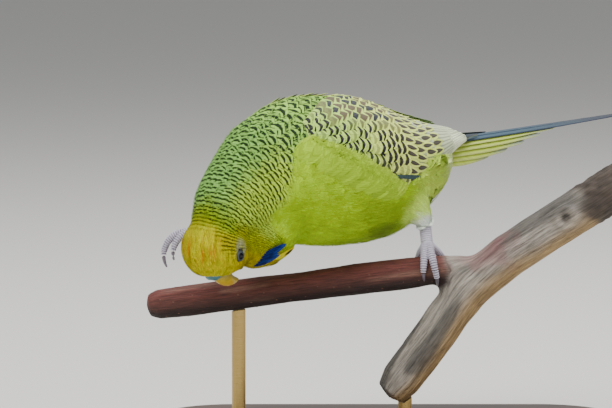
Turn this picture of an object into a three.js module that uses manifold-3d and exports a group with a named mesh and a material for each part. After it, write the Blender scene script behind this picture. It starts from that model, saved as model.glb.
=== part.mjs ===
// A life-size budgerigar that leans down along its perch, on a plain display stand.
// Millimetres, +Z up. The perch runs along X, and the bird is built in a frame of its own:
// x towards its breast, y towards its left side, z up.
import * as THREE from 'three';
import { mergeVertices } from 'three/addons/utils/BufferGeometryUtils.js';
import Module from 'manifold-3d';

const wasm = await Module();
wasm.setup();

// Gap that parts the neighbouring solids
const gap = 0.3;

// Where the bird's frame stands, seen from the left foot, which grips the perch axis at the origin
const birdX = -33;
const birdY = 0;
const birdYaw = THREE.MathUtils.degToRad(38);

// Body, as stations from the vent to the inside of the head: the middle of the section
// (ahead, aside, up), its half width, and its reach towards the back and the belly
const bodyStations = [
  { ahead: -52, aside: -0.6, up: 38, half: 9.5, back: 7, belly: 9.5 },
  { ahead: -38, aside: -0.4, up: 37, half: 15, back: 11.5, belly: 18.5 },
  { ahead: -22, aside: 0, up: 35.5, half: 20.4, back: 17.5, belly: 25 },
  { ahead: -5, aside: 0, up: 34.5, half: 22.8, back: 23.4, belly: 26.6 },
  { ahead: 13, aside: 0, up: 34.2, half: 22.8, back: 25.8, belly: 25.6 },
  { ahead: 28, aside: 0.6, up: 32.2, half: 19.6, back: 23, belly: 22.4 },
  { ahead: 40.5, aside: 1.8, up: 26, half: 15.2, back: 17, belly: 18 },
  { ahead: 49, aside: 3, up: 18.5, half: 12.2, back: 15, belly: 13.6 },
  { ahead: 54, aside: 3.8, up: 9.5, half: 9, back: 11.4, belly: 9 },
];
const bodyRings = 20;
const bodySides = 24;
const bodyEndPower = 7;

// The throat's plumage, which hangs over the breast as the head reaches down
const throatCentre = { ahead: 35.5, aside: 3, up: 14.2 };
const throatSize = { ahead: 14.5, aside: 13.2, up: 11.4 };
const throatPitch = THREE.MathUtils.degToRad(17);

// Where thin cuts part the head from the neck, and the neck from the trunk
const headCut = { ahead: 49.5, up: 19.5, pitch: THREE.MathUtils.degToRad(46) };
const neckCut = { ahead: 27, up: 32, pitch: THREE.MathUtils.degToRad(10) };
const tailCut = { ahead: -46, up: 38, pitch: 0 };

// Head: its own frame has x towards the bill, y left, z towards the crown
const headAhead = 54.4;
const headAside = 4;
const headUp = 10.8;
const headTurn = THREE.MathUtils.degToRad(7);
const headPitch = THREE.MathUtils.degToRad(96);
const headLong = 10.7;
const headHalf = 10.9;
const headHigh = 11.7;
const cheekBulge = 1;
const cheekWay = new THREE.Vector3(0.35, 0.72, -0.6).normalize();
const cheekSpread = 0.16;
const chinHollow = 1.6;
const chinWay = new THREE.Vector3(0.75, 0, -0.66).normalize();
const chinSpread = 0.1;
const headRings = 14;
const headSides = 18;

const eyeRadius = 2.2;
const eyePlace = { ahead: 2.4, aside: 8.9, high: -1.4 };

// Bill: the upper one hooks down along an arc, and the lower one is a short scoop behind it
const billHalf = 4.1;
const billDeep = 3.5;
const billTipSize = 0.4;
const billArc = 7.7;
const billCentre = { ahead: 6.5, high: -5.2 };
const billRoot = THREE.MathUtils.degToRad(74);
const billTip = THREE.MathUtils.degToRad(-38);
const lowerBill = { ahead: 5.2, high: -9.6, long: 4.4, drop: 0.7, half: 2.9, deep: 1.7 };
const cere = { ahead: 9.4, high: 2.3, half: 4.1, thick: 1.7, tall: 1.9, bow: 0.085, lobe: 0.25 };
const nostril = { radius: 0.5, ahead: 11, aside: 2, high: 2.1 };

// Wings: sheets on an envelope round the trunk, from the bend at the breast to the tip
const wingBendAhead = 25;
const wingTips = { left: -63, right: -72 };
const wingStations = [
  { ahead: 25, up: 34.5, half: 22.2, high: 25.4, low: 27, top: 46 },
  { ahead: 13, up: 34.5, half: 24.8, high: 26.6, low: 12, top: 62 },
  { ahead: -4, up: 35, half: 24.4, high: 24.4, low: -5, top: 78 },
  { ahead: -18, up: 36, half: 22, high: 20, low: -20, top: 84 },
  { ahead: -31, up: 37, half: 18, high: 14.6, low: -30, top: 84 },
  { ahead: -46, up: 39, half: 11.8, high: 8.8, low: -26, top: 82 },
  { ahead: -60, up: 41.8, half: 7, high: 4, low: -2, top: 72 },
  { ahead: -72, up: 43.2, half: 4, high: 2, low: 10, top: 60 },
];
const wingThick = 2.2;
const wingEdgeThick = 0.8;
const wingSteps = 13;
const wingRows = 5;

// Tail: pairs of blades, each shorter and steeper than the last
const tailRoot = { ahead: -34, up: 41 };
const tailPitch = THREE.MathUtils.degToRad(4);
const tailPairs = 6;
const tailLongest = 103;
const tailSecond = 65;
const tailShortest = 31;
const tailHalf = 3.4;
const tailThick = 0.8;
const tailRise = 0.55;
const tailSteps = 6;

// Legs
const thighSides = 12;
const thighRings = 9;
const toeSides = 6;
const toeSteps = 8;
const tarsusRadius = 1.85;
const palmDepth = 1.2;
const toeRadius = 1.2;
const toeLift = 1.1;
const clawRadius = 0.75;

// The gripping foot's toes: where each starts and ends along the perch, and round it in degrees
const grippingToes = [
  { digit: 'inner_front', from: -0.5, to: -2.6, start: 4, end: 96, claw: 124 },
  { digit: 'outer_front', from: 0.5, to: 1.9, start: 4, end: 118, claw: 156 },
  { digit: 'inner_back', from: -0.5, to: -4, start: -4, end: -68, claw: -98 },
  { digit: 'outer_back', from: 0.5, to: 6.4, start: -4, end: -92, claw: -124 },
];

// The lifted foot's half-closed toes: each one's way out of the palm, first lean and curl in
// degrees, and its length with the claw
const closedToes = [
  { digit: 'inner_front', way: 26, lean: 20, curl: 124, long: 15 },
  { digit: 'outer_front', way: -8, lean: 24, curl: 140, long: 20.3 },
  { digit: 'inner_back', way: 150, lean: -34, curl: 140, long: 12.3 },
  { digit: 'outer_back', way: -158, lean: -34, curl: 140, long: 16.8 },
];
const clawShare = 0.22;

// Perch: a slim branch that grows out of a thicker weathered limb
const branchRadius = 5.4;
const branchEnd = new THREE.Vector3(-98, 0, -13.2);
const branchJoin = new THREE.Vector3(14, 0, 0.9);
const limbRadius = 7.8;
const limbStations = [
  new THREE.Vector3(-14.6, 0, -45),
  new THREE.Vector3(3, 0, -21.8),
  new THREE.Vector3(12, 0, -9),
  new THREE.Vector3(23, 0, 1.5),
  new THREE.Vector3(37, 0, 11),
  new THREE.Vector3(55, 0, 22),
  new THREE.Vector3(73, 0, 33.6),
];
const barkSides = 14;
const branchSteps = 16;
const limbSteps = 15;
const barkRipple = 0.035;
const forkSwell = { at: 0.45, spread: 0.1, size: 0.05 };

// Stand: a flat base and two short rods
const baseLong = 160;
const baseWide = 104;
const baseCorner = 26;
const baseBevel = 1.2;
const baseThick = 8;
const baseTop = -55;
const baseX = -14;
const baseY = 6;
const rodRadius = 2.4;
const rodPlaces = [{ name: 'stand_rod_branch', x: -66 }, { name: 'stand_rod_limb', x: -8.5 }];

const paint = (color, roughness = 0.8, metalness = 0) =>
  new THREE.MeshStandardMaterial({ color, roughness, metalness });

const feather = {
  face: paint(0xd2c12a, 0.9),
  barred: paint(0x9fb84e, 0.9),
  green: paint(0x8fae2e, 0.9),
  wing: paint(0xa7a84e, 0.85),
  tail: paint(0x5d7f92, 0.8),
  thigh: paint(0xcfdcae, 0.9),
};

// A closed geometry as a solid that can be joined and cut
function solid(geometry) {
  const bare = geometry.index ? geometry.toNonIndexed() : geometry.clone();
  bare.deleteAttribute('normal');
  bare.deleteAttribute('uv');
  const merged = mergeVertices(bare, 1e-4);
  return new wasm.Manifold(new wasm.Mesh({
    numProp: 3,
    vertProperties: new Float32Array(merged.attributes.position.array),
    triVerts: new Uint32Array(merged.index.array),
  }));
}

function geometryOf(shape) {
  const { numProp, vertProperties, triVerts } = shape.getMesh();
  const places = new Float32Array((vertProperties.length / numProp) * 3);
  for (let i = 0; i < places.length / 3; i += 1) {
    places.set(vertProperties.subarray(i * numProp, i * numProp + 3), i * 3);
  }
  const geometry = new THREE.BufferGeometry();
  geometry.setAttribute('position', new THREE.BufferAttribute(places, 3));
  geometry.setIndex(new THREE.BufferAttribute(new Uint32Array(triVerts), 1));
  geometry.computeVertexNormals();
  return geometry;
}

function named(name, shape, material) {
  const geometry = shape.isBufferGeometry ? shape : geometryOf(shape);
  const mesh = new THREE.Mesh(geometry, material);
  mesh.name = name;
  return mesh;
}

// A ball drawn out along a path: place(u, x, y, cap) gives the point at u along the path, with x
// and y on the unit circle and cap the share of the section's size left near the round ends.
function drawnOut(rings, sides, endPower, place) {
  const geometry = new THREE.SphereGeometry(1, sides, rings);
  const position = geometry.attributes.position;
  for (let i = 0; i < position.count; i += 1) {
    const along = THREE.MathUtils.clamp(position.getY(i), -1, 1);
    const out = Math.hypot(position.getX(i), position.getZ(i));
    const isPole = out < 1e-6;
    const cap = isPole ? 0 : Math.sqrt(1 - Math.abs(along) ** endPower);
    const x = isPole ? 0 : position.getX(i) / out;
    const y = isPole ? 0 : position.getZ(i) / out;
    const point = place((1 - along) / 2, x, y, cap);
    position.setXYZ(i, point.x, point.y, point.z);
  }
  return geometry;
}

// A smooth run through stations that are objects of like numbers
function runThrough(stations) {
  const names = Object.keys(stations[0]);
  return (u) => {
    const at = THREE.MathUtils.clamp(u, 0, 1) * (stations.length - 1);
    const i = Math.min(Math.floor(at), stations.length - 2);
    const f = at - i;
    const value = (name, k) => stations[THREE.MathUtils.clamp(k, 0, stations.length - 1)][name];
    const result = {};
    for (const name of names) {
      const [a, b, c, d] = [-1, 0, 1, 2].map((k) => value(name, i + k));
      result[name] = b + 0.5 * f * (c - a + f * (2 * a - 5 * b + 4 * c - d + f * (3 * (b - c) + d - a)));
    }
    return result;
  };
}

const bodyRun = runThrough(bodyStations);

function bodyFrame(u) {
  const here = bodyRun(u);
  const before = bodyRun(u - 0.01);
  const after = bodyRun(u + 0.01);
  const ahead = new THREE.Vector3(
    after.ahead - before.ahead,
    after.aside - before.aside,
    after.up - before.up,
  ).normalize();
  const left = new THREE.Vector3(0, 0, 1).cross(ahead).normalize();
  const back = new THREE.Vector3().crossVectors(ahead, left);
  return { here, left, back };
}

function bodyGeometry() {
  return drawnOut(bodyRings, bodySides, bodyEndPower, (u, x, y, cap) => {
    const { here, left, back } = bodyFrame(u);
    const reach = y > 0 ? here.back : here.belly;
    return new THREE.Vector3(here.ahead, here.aside, here.up)
      .addScaledVector(left, x * here.half * cap)
      .addScaledVector(back, y * reach * cap);
  });
}

const headFrame = new THREE.Matrix4()
  .makeTranslation(headAhead, headAside, headUp)
  .multiply(new THREE.Matrix4().makeRotationZ(headTurn))
  .multiply(new THREE.Matrix4().makeRotationY(headPitch));

// Head surface in its own frame: an egg with full cheeks and a hollow under the bill
function headGeometry() {
  const geometry = new THREE.SphereGeometry(1, headSides, headRings);
  geometry.rotateZ(-Math.PI / 2);
  const position = geometry.attributes.position;
  const way = new THREE.Vector3();
  for (let i = 0; i < position.count; i += 1) {
    way.fromBufferAttribute(position, i);
    const mirrored = new THREE.Vector3(way.x, Math.abs(way.y), way.z);
    const near = (to, spread) => Math.exp(-((1 - mirrored.dot(to)) / spread));
    const swell = cheekBulge * near(cheekWay, cheekSpread) - chinHollow * near(chinWay, chinSpread);
    const length = 1 / Math.hypot(way.x / headLong, way.y / headHalf, way.z / headHigh);
    way.multiplyScalar(length + swell);
    position.setXYZ(i, way.x, way.y, way.z);
  }
  return geometry;
}

// The hooked upper bill, drawn out along an arc that ends in the tip
function upperBillGeometry(grow) {
  return drawnOut(10, 12, 9, (u, x, y, cap) => {
    const angle = THREE.MathUtils.lerp(billRoot, billTip, u);
    const slim = (1 - u ** 1.6) ** 0.77;
    const half = (billHalf * slim + billTipSize) * cap + grow;
    const deep = (billDeep * slim + billTipSize) * cap + grow;
    const arc = billArc + grow - deep * (1 - y * Math.sqrt(1 - 0.35 * x * x));
    return new THREE.Vector3(
      billCentre.ahead + arc * Math.cos(angle),
      x * half,
      billCentre.high + arc * Math.sin(angle),
    );
  });
}

function lowerBillGeometry(grow) {
  return drawnOut(8, 12, 4, (u, x, y, cap) => {
    const slim = (1 - 0.3 * u) * cap;
    return new THREE.Vector3(
      lowerBill.ahead + lowerBill.long * u,
      x * (lowerBill.half * slim + grow),
      lowerBill.high - lowerBill.drop * u + y * (lowerBill.deep * slim + grow),
    );
  });
}

// The fleshy saddle over the bill's root
function cereGeometry(grow) {
  return drawnOut(8, 10, 2.6, (u, x, y, cap) => {
    const aside = THREE.MathUtils.lerp(-cere.half - grow, cere.half + grow, u);
    const lobe = cere.lobe * Math.cos((2 * Math.PI * aside) / cere.half);
    const bow = cere.bow * aside * aside;
    return new THREE.Vector3(
      cere.ahead - bow + y * ((cere.thick - lobe) * cap + grow),
      aside,
      cere.high - 0.6 * bow + x * (cere.tall * cap + grow),
    );
  });
}

const eyeGeometry = (grow) => new THREE.SphereGeometry(eyeRadius + grow, 12, 8);

function wingPlace(stations, u, v) {
  const here = stations(u);
  const angle = THREE.MathUtils.degToRad(THREE.MathUtils.lerp(here.low, here.top, v));
  const aside = Math.cos(angle);
  const up = Math.sin(angle);
  return {
    point: new THREE.Vector3(here.ahead, here.half * aside, here.up + here.high * up),
    out: new THREE.Vector3(0, aside / here.half, up / here.high).normalize(),
  };
}

// A folded wing: a bent slab from its bend to its tip, thinner towards its edges
function wingGeometry(side, grow) {
  const tip = wingTips[side];
  const last = wingStations.at(-1).ahead;
  const stretch = (tip - wingBendAhead) / (last - wingBendAhead);
  const stations = runThrough(wingStations);
  const geometry = new THREE.BoxGeometry(1, 1, 1, wingSteps, wingRows, 1);
  const position = geometry.attributes.position;
  for (let i = 0; i < position.count; i += 1) {
    const u = 0.5 - position.getX(i);
    const v = position.getY(i) + 0.5;
    const { point, out } = wingPlace(stations, u, v);
    point.x = wingBendAhead + (point.x - wingBendAhead) * stretch;
    const middle = Math.max(0, 1 - (2 * v - 1) ** 2) * Math.min(1, 6 * (1 - u), 5 * u + 0.2);
    const thick = THREE.MathUtils.lerp(wingEdgeThick, wingThick, middle) + 2 * grow;
    point.addScaledVector(out, -position.getZ(i) * thick);
    point.x += grow * Math.sign(0.5 - u) * (u < 1e-6 || u > 1 - 1e-6 ? 1 : 0);
    if (v < 1e-6 || v > 1 - 1e-6) {
      const along = new THREE.Vector3(1, 0, 0).cross(out);
      point.addScaledVector(along, grow * Math.sign(v - 0.5));
    }
    if (side === 'right') point.y = -point.y;
    position.setXYZ(i, point.x, point.y, point.z);
  }
  return side === 'right' ? turnedInsideOut(geometry) : geometry;
}

// A mirrored geometry has its faces turned round
function turnedInsideOut(geometry) {
  const index = geometry.index.array;
  for (let i = 0; i < index.length; i += 3) {
    [index[i + 1], index[i + 2]] = [index[i + 2], index[i + 1]];
  }
  return geometry;
}

const tailLength = (pair) => (pair === 0
  ? tailLongest
  : THREE.MathUtils.lerp(tailSecond, tailShortest, (pair - 1) / (tailPairs - 2)));

// One long tapered blade of the tail, steeper and lower the further out its pair is
function tailBlade(pair, side) {
  const length = tailLength(pair);
  const share = pair / (tailPairs - 1);
  const geometry = new THREE.BoxGeometry(1, 1, 1, tailSteps, 2, 1);
  const position = geometry.attributes.position;
  for (let i = 0; i < position.count; i += 1) {
    const u = 0.5 - position.getX(i);
    const fat = 0.62 + 0.38 * Math.sin(Math.PI * Math.min(1, 0.3 + 0.8 * u));
    const narrow = Math.sqrt(Math.max(0.03, 1 - Math.max(0, (u - 0.55) / 0.45) ** 2));
    const half = (tailHalf + 0.25 * pair) * fat * narrow;
    const across = 2 * position.getY(i) * half;
    const lift = position.getZ(i) * tailThick - 0.035 * across * across;
    position.setXYZ(i, -length * u, across, lift);
  }
  geometry.rotateX(-side * THREE.MathUtils.degToRad(8 + 46 * share));
  geometry.translate(0, side * (1.2 + 2.8 * share), -tailRise * pair - 0.7 * share);
  geometry.rotateY(THREE.MathUtils.degToRad(-6 * share * share));
  geometry.rotateZ(-side * THREE.MathUtils.degToRad(5 * share));
  geometry.rotateY(tailPitch);
  geometry.translate(tailRoot.ahead, 0, tailRoot.up);
  return geometry;
}

function tailSolid() {
  let whole = null;
  for (let pair = 0; pair < tailPairs; pair += 1) {
    for (const side of [1, -1]) {
      const blade = solid(tailBlade(pair, side));
      whole = whole ? whole.add(blade) : blade;
    }
  }
  return whole;
}

// A round limb of flesh or feather along a smooth path, with a radius for each point of the path
function limbGeometry(points, radii, { rings, sides, endPower, grow = 0, flat = 1 }) {
  const path = new THREE.CatmullRomCurve3(points);
  const size = runThrough(radii.map((radius) => ({ radius })));
  const sideways = new THREE.Vector3();
  return drawnOut(rings, sides, endPower, (u, x, y, cap) => {
    const ahead = path.getTangent(u);
    sideways.set(0, 0, 1).cross(ahead);
    if (sideways.lengthSq() < 1e-4) sideways.set(0, 1, 0);
    sideways.normalize();
    const up = new THREE.Vector3().crossVectors(ahead, sideways);
    const radius = size(u).radius * cap + grow;
    return path.getPoint(u)
      .addScaledVector(ahead, grow * Math.sign(u - 0.5) * (cap === 0 ? 1 : 0))
      .addScaledVector(sideways, x * radius)
      .addScaledVector(up, y * radius * flat);
  });
}

// The bird's frame, and ways into it from the perch's
const birdFrame = new THREE.Matrix4()
  .makeTranslation(birdX, birdY, 0)
  .multiply(new THREE.Matrix4().makeRotationZ(Math.PI + birdYaw));
const intoBird = birdFrame.clone().invert();
const fromPerch = (x, y, z) => new THREE.Vector3(x, y, z).applyMatrix4(intoBird);

// A point wound round the perch's axis at the left foot: the turn is 0 on top and grows
// towards the side that the bird's left flank looks to
const branchWay = branchJoin.clone().sub(branchEnd).normalize();
const branchUp = new THREE.Vector3(-branchWay.z, 0, branchWay.x);
function roundPerch(along, turn, radius) {
  const angle = THREE.MathUtils.degToRad(turn);
  return branchWay.clone().multiplyScalar(along)
    .addScaledVector(branchUp, radius * Math.cos(angle))
    .add(new THREE.Vector3(0, -radius * Math.sin(angle), 0));
}

const gripRadius = branchRadius + gap + toeRadius;

function grippingPath(toe, share) {
  const along = THREE.MathUtils.lerp(toe.from, toe.to, share);
  const turn = THREE.MathUtils.lerp(toe.start, toe.end, share);
  const lift = toeLift * (1 - share) ** 3;
  return roundPerch(along, turn, gripRadius + lift).applyMatrix4(intoBird);
}

const leftPalm = roundPerch(0, 0, branchRadius + gap + 1.7);
const leftAnkle = new THREE.Vector3(-1.8, 4.4, 17);

// The shank, from just under the palm to the ankle
function shank(palm, ankle) {
  const sole = palm.clone().addScaledVector(palm.clone().sub(ankle).normalize(), palmDepth);
  return [sole, palm.clone().lerp(ankle, 0.45), ankle];
}

function leftFoot() {
  return {
    tarsus: shank(leftPalm, leftAnkle).map((point) => point.applyMatrix4(intoBird)),
    toes: grippingToes.map((toe) => ({
      digit: toe.digit,
      points: [0, 0.25, 0.5, 0.75, 1].map((share) => grippingPath(toe, share)),
      claw: [0, 0.5, 1].map((share) => roundPerch(
        toe.to,
        THREE.MathUtils.lerp(toe.end, toe.claw, share),
        gripRadius - 0.1 * share,
      ).applyMatrix4(intoBird)),
    })),
  };
}

// The lifted foot reaches past the head's far side with its toes half closed: its own frame has
// x where the toes point, z out of the sole's back
const rightPalm = fromPerch(-80.5, -15.5, 13.6);
const rightAnkle = new THREE.Vector3(32, -21.5, 14.5);

function rightFoot() {
  const ahead = fromPerch(-92, -16, 12.5).sub(rightPalm).normalize();
  const back = fromPerch(-81, -16, 24).sub(rightPalm).normalize();
  const left = new THREE.Vector3().crossVectors(back, ahead).normalize();
  back.crossVectors(ahead, left);
  const bend = (toe, share) => {
    const way = THREE.MathUtils.degToRad(toe.way);
    const out = ahead.clone().multiplyScalar(Math.cos(way)).addScaledVector(left, Math.sin(way));
    const curl = THREE.MathUtils.degToRad(toe.curl);
    const radius = toe.long / curl;
    const lean = THREE.MathUtils.degToRad(toe.lean);
    const rise = radius * (Math.cos(curl * share - lean) - Math.cos(lean));
    const run = radius * (Math.sin(curl * share - lean) + Math.sin(lean));
    return rightPalm.clone().addScaledVector(out, run).addScaledVector(back, rise);
  };
  return {
    tarsus: shank(rightPalm, rightAnkle),
    toes: closedToes.map((toe) => ({
      digit: toe.digit,
      points: [0, 0.25, 0.5, 0.75, 1].map((share) => bend(toe, share * (1 - clawShare))),
      claw: [0, 0.5, 1].map((share) => bend(toe, 1 - clawShare * (1 - share))),
    })),
  };
}

const toeGirth = [1.25, 1.05, 1.05, 0.95, 0.85].map((share) => share * toeRadius);

function footSolid(foot, grow) {
  const bone = { rings: 6, sides: 9, endPower: 12, grow };
  let whole = solid(limbGeometry(foot.tarsus, [2.15, tarsusRadius, 1.9], bone));
  for (const toe of foot.toes) {
    const shape = { rings: toeSteps, sides: toeSides, endPower: 10, grow };
    whole = whole.add(solid(limbGeometry(toe.points, toeGirth, shape)));
  }
  return whole;
}

function clawSolid(toe, grow) {
  const shape = { rings: 5, sides: 7, endPower: 10, grow };
  return solid(limbGeometry(toe.claw, [clawRadius, clawRadius * 0.72, 0.3], shape));
}

// Feathered legs, from inside the belly to where the bare shank starts
const thighs = {
  left: {
    points: [
      fromPerch(-17, 8, 27),
      fromPerch(-9, 5, 23.5),
      fromPerch(-3.6, 2.6, 18.5),
      fromPerch(-0.9, 1.6, 12.2),
    ],
    radii: [8.5, 7.2, 4.8, 2.9],
  },
  right: {
    points: [
      new THREE.Vector3(4, -12.5, 23),
      new THREE.Vector3(13, -17.5, 19.5),
      new THREE.Vector3(22, -20.5, 16.8),
      new THREE.Vector3(31, -21.6, 14.8),
    ],
    radii: [8, 6.6, 4.6, 2.9],
  },
};

function thighSolid(side, grow) {
  const { points, radii } = thighs[side];
  const shape = { rings: thighRings, sides: thighSides, endPower: 8, grow };
  return solid(limbGeometry(points, radii, shape));
}

// Everything on one side of a slanting plane across the neck
function beyond(cut, ahead) {
  const size = 240;
  const block = new THREE.BoxGeometry(size, size, size);
  block.translate((ahead ? 1 : -1) * (size / 2 + gap / 2), 0, 0);
  block.rotateY(cut.pitch);
  block.translate(cut.ahead, 0, cut.up);
  return solid(block);
}

// The hard and bare pieces of the face, in the head's frame
function face() {
  const group = new THREE.Group();
  group.applyMatrix4(headFrame);
  const besideBill = solid(upperBillGeometry(gap));
  let saddle = solid(cereGeometry(0)).subtract(besideBill);
  for (const side of [1, -1]) {
    const hole = new THREE.SphereGeometry(nostril.radius, 6, 4);
    hole.translate(nostril.ahead, side * nostril.aside, nostril.high);
    saddle = saddle.subtract(solid(hole));
  }
  const lower = solid(lowerBillGeometry(0)).subtract(besideBill);
  group.add(named('bill_upper', upperBillGeometry(0), paint(0xb98d2c, 0.4)));
  group.add(named('bill_lower', lower, paint(0x8a6a35, 0.45)));
  group.add(named('cere', saddle, paint(0x4f7f86, 0.5)));
  for (const side of [1, -1]) {
    const eye = named(side > 0 ? 'eye_left' : 'eye_right', eyeGeometry(0), paint(0x1d2227, 0.12));
    eye.position.set(eyePlace.ahead, side * eyePlace.aside, eyePlace.high);
    group.add(eye);
  }
  return group;
}

function throatGeometry() {
  const { ahead, aside, up } = throatSize;
  return new THREE.SphereGeometry(1, 16, 10)
    .scale(ahead, aside, up)
    .rotateY(throatPitch)
    .translate(throatCentre.ahead, throatCentre.aside, throatCentre.up);
}

function inHead(geometry) {
  return solid(geometry.clone().applyMatrix4(headFrame));
}

function eyeSockets() {
  const sockets = [1, -1].map((side) => inHead(
    eyeGeometry(gap).translate(eyePlace.ahead, side * eyePlace.aside, eyePlace.high),
  ));
  return sockets[0].add(sockets[1]);
}

// The bird: the whole body first, then the cuts that part it
function bird() {
  const group = new THREE.Group();
  group.applyMatrix4(birdFrame);

  const body = solid(bodyGeometry()).add(inHead(headGeometry())).add(solid(throatGeometry()));
  group.add(face());

  const head = body
    .intersect(beyond(headCut, true))
    .subtract(inHead(upperBillGeometry(gap)))
    .subtract(inHead(lowerBillGeometry(gap)))
    .subtract(inHead(cereGeometry(gap)))
    .subtract(eyeSockets());
  group.add(named('head', head, feather.face));

  const wingPockets = solid(wingGeometry('left', gap)).add(solid(wingGeometry('right', gap)));
  const thighPockets = thighSolid('left', gap).add(thighSolid('right', gap));
  const neck = body
    .intersect(beyond(headCut, false))
    .intersect(beyond(neckCut, true))
    .subtract(wingPockets)
    .subtract(thighPockets);
  group.add(named('neck', neck, feather.barred));

  const trunk = body
    .intersect(beyond(neckCut, false))
    .intersect(beyond(tailCut, true))
    .subtract(wingPockets)
    .subtract(thighPockets);
  group.add(named('trunk', trunk, feather.green));
  const tail = tailSolid().intersect(beyond(tailCut, false)).subtract(wingPockets);
  group.add(named('tail', tail, feather.tail));
  for (const side of ['left', 'right']) {
    group.add(named(`wing_${side}`, wingGeometry(side, 0), feather.wing));
    const foot = side === 'left' ? leftFoot() : rightFoot();
    const thigh = thighSolid(side, 0).subtract(footSolid(foot, gap));
    group.add(named(`thigh_${side}`, thigh, feather.thigh));
    let toes = footSolid(foot, 0);
    for (const toe of foot.toes) {
      toes = toes.subtract(clawSolid(toe, gap));
      group.add(named(`claw_${side}_${toe.digit}`, clawSolid(toe, 0), paint(0x5b5560, 0.45)));
    }
    group.add(named(`foot_${side}`, toes, paint(0xb3aab4, 0.6)));
  }
  return group;
}

// A branch with a gentle swell and waver along its length
function branchGeometry(grow) {
  const girth = (u, x, y) => branchRadius * (1 + barkRipple * Math.sin(11 * u + 2 * Math.atan2(y, x)));
  return drawnOut(branchSteps, barkSides, 40, (u, x, y, cap) => branchEnd.clone()
    .lerp(branchJoin, u)
    .addScaledVector(branchUp, x * (girth(u, x, y) * cap + grow))
    .add(new THREE.Vector3(0, -y * (girth(u, x, y) * cap + grow), 0)));
}

function limbWoodGeometry(grow) {
  const path = new THREE.CatmullRomCurve3(limbStations);
  return drawnOut(limbSteps, barkSides, 40, (u, x, y, cap) => {
    const ahead = path.getTangent(u);
    const up = new THREE.Vector3(-ahead.z, 0, ahead.x);
    const swell = forkSwell.size * Math.exp(-(((u - forkSwell.at) / forkSwell.spread) ** 2));
    const ripple = 1 + swell + barkRipple * Math.sin(9 * u + 3 * Math.atan2(y, x));
    const radius = limbRadius * ripple * (0.94 + 0.08 * u) * cap + grow;
    return path.getPoint(u).addScaledVector(up, x * radius).add(new THREE.Vector3(0, -y * radius, 0));
  });
}

function perch() {
  const group = new THREE.Group();
  const limb = solid(limbWoodGeometry(0));
  const branch = solid(branchGeometry(0)).subtract(solid(limbWoodGeometry(gap)));
  group.add(named('perch_branch', branch, paint(0x6d4a40, 0.75)));
  group.add(named('perch_fork', limb, paint(0x8c8074, 0.85)));
  return group;
}

function stand() {
  const group = new THREE.Group();
  const outline = new THREE.Shape();
  const halfLong = baseLong / 2 - baseBevel;
  const halfWide = baseWide / 2 - baseBevel;
  const corner = baseCorner - baseBevel;
  outline.absarc(halfLong - corner, halfWide - corner, corner, 0, Math.PI / 2);
  outline.absarc(corner - halfLong, halfWide - corner, corner, Math.PI / 2, Math.PI);
  outline.absarc(corner - halfLong, corner - halfWide, corner, Math.PI, 1.5 * Math.PI);
  outline.absarc(halfLong - corner, corner - halfWide, corner, 1.5 * Math.PI, 2 * Math.PI);
  const base = new THREE.ExtrudeGeometry(outline, {
    depth: baseThick - 2 * baseBevel,
    bevelThickness: baseBevel,
    bevelSize: baseBevel,
    bevelSegments: 1,
    curveSegments: 4,
  });
  base.translate(baseX, baseY, baseTop - baseThick + baseBevel);
  group.add(named('stand_base', base, paint(0x3b2c24, 0.5)));

  const wood = solid(branchGeometry(gap)).add(solid(limbWoodGeometry(gap)));
  for (const { name, x } of rodPlaces) {
    const reach = 45;
    const rod = new THREE.CylinderGeometry(rodRadius, rodRadius, reach, 16);
    rod.rotateX(Math.PI / 2);
    rod.translate(x, 0, baseTop + gap + reach / 2);
    const cut = solid(rod).subtract(wood).intersect(underWood(x));
    group.add(named(name, cut, paint(0x9a8a5a, 0.35, 1)));
  }
  return group;
}

// The space under the wood, so that nothing of a rod is left above it
function underWood(x) {
  const height = x < branchJoin.x - 60 ? branchHeight(x) : limbStations[0].z + 4;
  const block = new THREE.BoxGeometry(20, 20, 80);
  block.translate(x, 0, height - 40);
  return solid(block);
}

function branchHeight(x) {
  const share = (x - branchEnd.x) / (branchJoin.x - branchEnd.x);
  return THREE.MathUtils.lerp(branchEnd.z, branchJoin.z, share);
}

const part = new THREE.Group();
part.name = 'budgerigar';
part.add(bird(), perch(), stand());

// The origin is the middle of the box round everything, at floor level
part.updateMatrixWorld(true);
const box = new THREE.Box3().setFromObject(part, true);
const middle = box.getCenter(new THREE.Vector3());
for (const group of part.children) {
  group.position.x -= middle.x;
  group.position.y -= middle.y;
  group.position.z -= box.min.z;
}

export default part;
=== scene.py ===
import math

import bmesh
import bpy
import numpy as np
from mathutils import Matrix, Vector
from mathutils.bvhtree import BVHTree
from mathutils.kdtree import KDTree


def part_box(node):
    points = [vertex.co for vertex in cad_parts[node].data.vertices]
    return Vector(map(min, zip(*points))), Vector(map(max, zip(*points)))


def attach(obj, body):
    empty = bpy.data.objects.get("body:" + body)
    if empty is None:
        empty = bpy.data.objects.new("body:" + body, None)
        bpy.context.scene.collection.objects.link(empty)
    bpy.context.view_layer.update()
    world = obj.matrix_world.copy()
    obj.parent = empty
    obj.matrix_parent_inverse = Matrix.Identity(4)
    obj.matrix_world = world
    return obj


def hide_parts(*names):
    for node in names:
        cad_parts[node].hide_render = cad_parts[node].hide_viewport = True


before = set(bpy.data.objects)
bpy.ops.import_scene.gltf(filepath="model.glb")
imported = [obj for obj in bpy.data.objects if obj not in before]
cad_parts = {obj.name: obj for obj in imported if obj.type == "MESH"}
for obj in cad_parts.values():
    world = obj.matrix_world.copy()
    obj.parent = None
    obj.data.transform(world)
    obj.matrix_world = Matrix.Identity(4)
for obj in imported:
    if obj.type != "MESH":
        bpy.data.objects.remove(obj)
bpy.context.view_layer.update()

mm = 0.001


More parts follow.
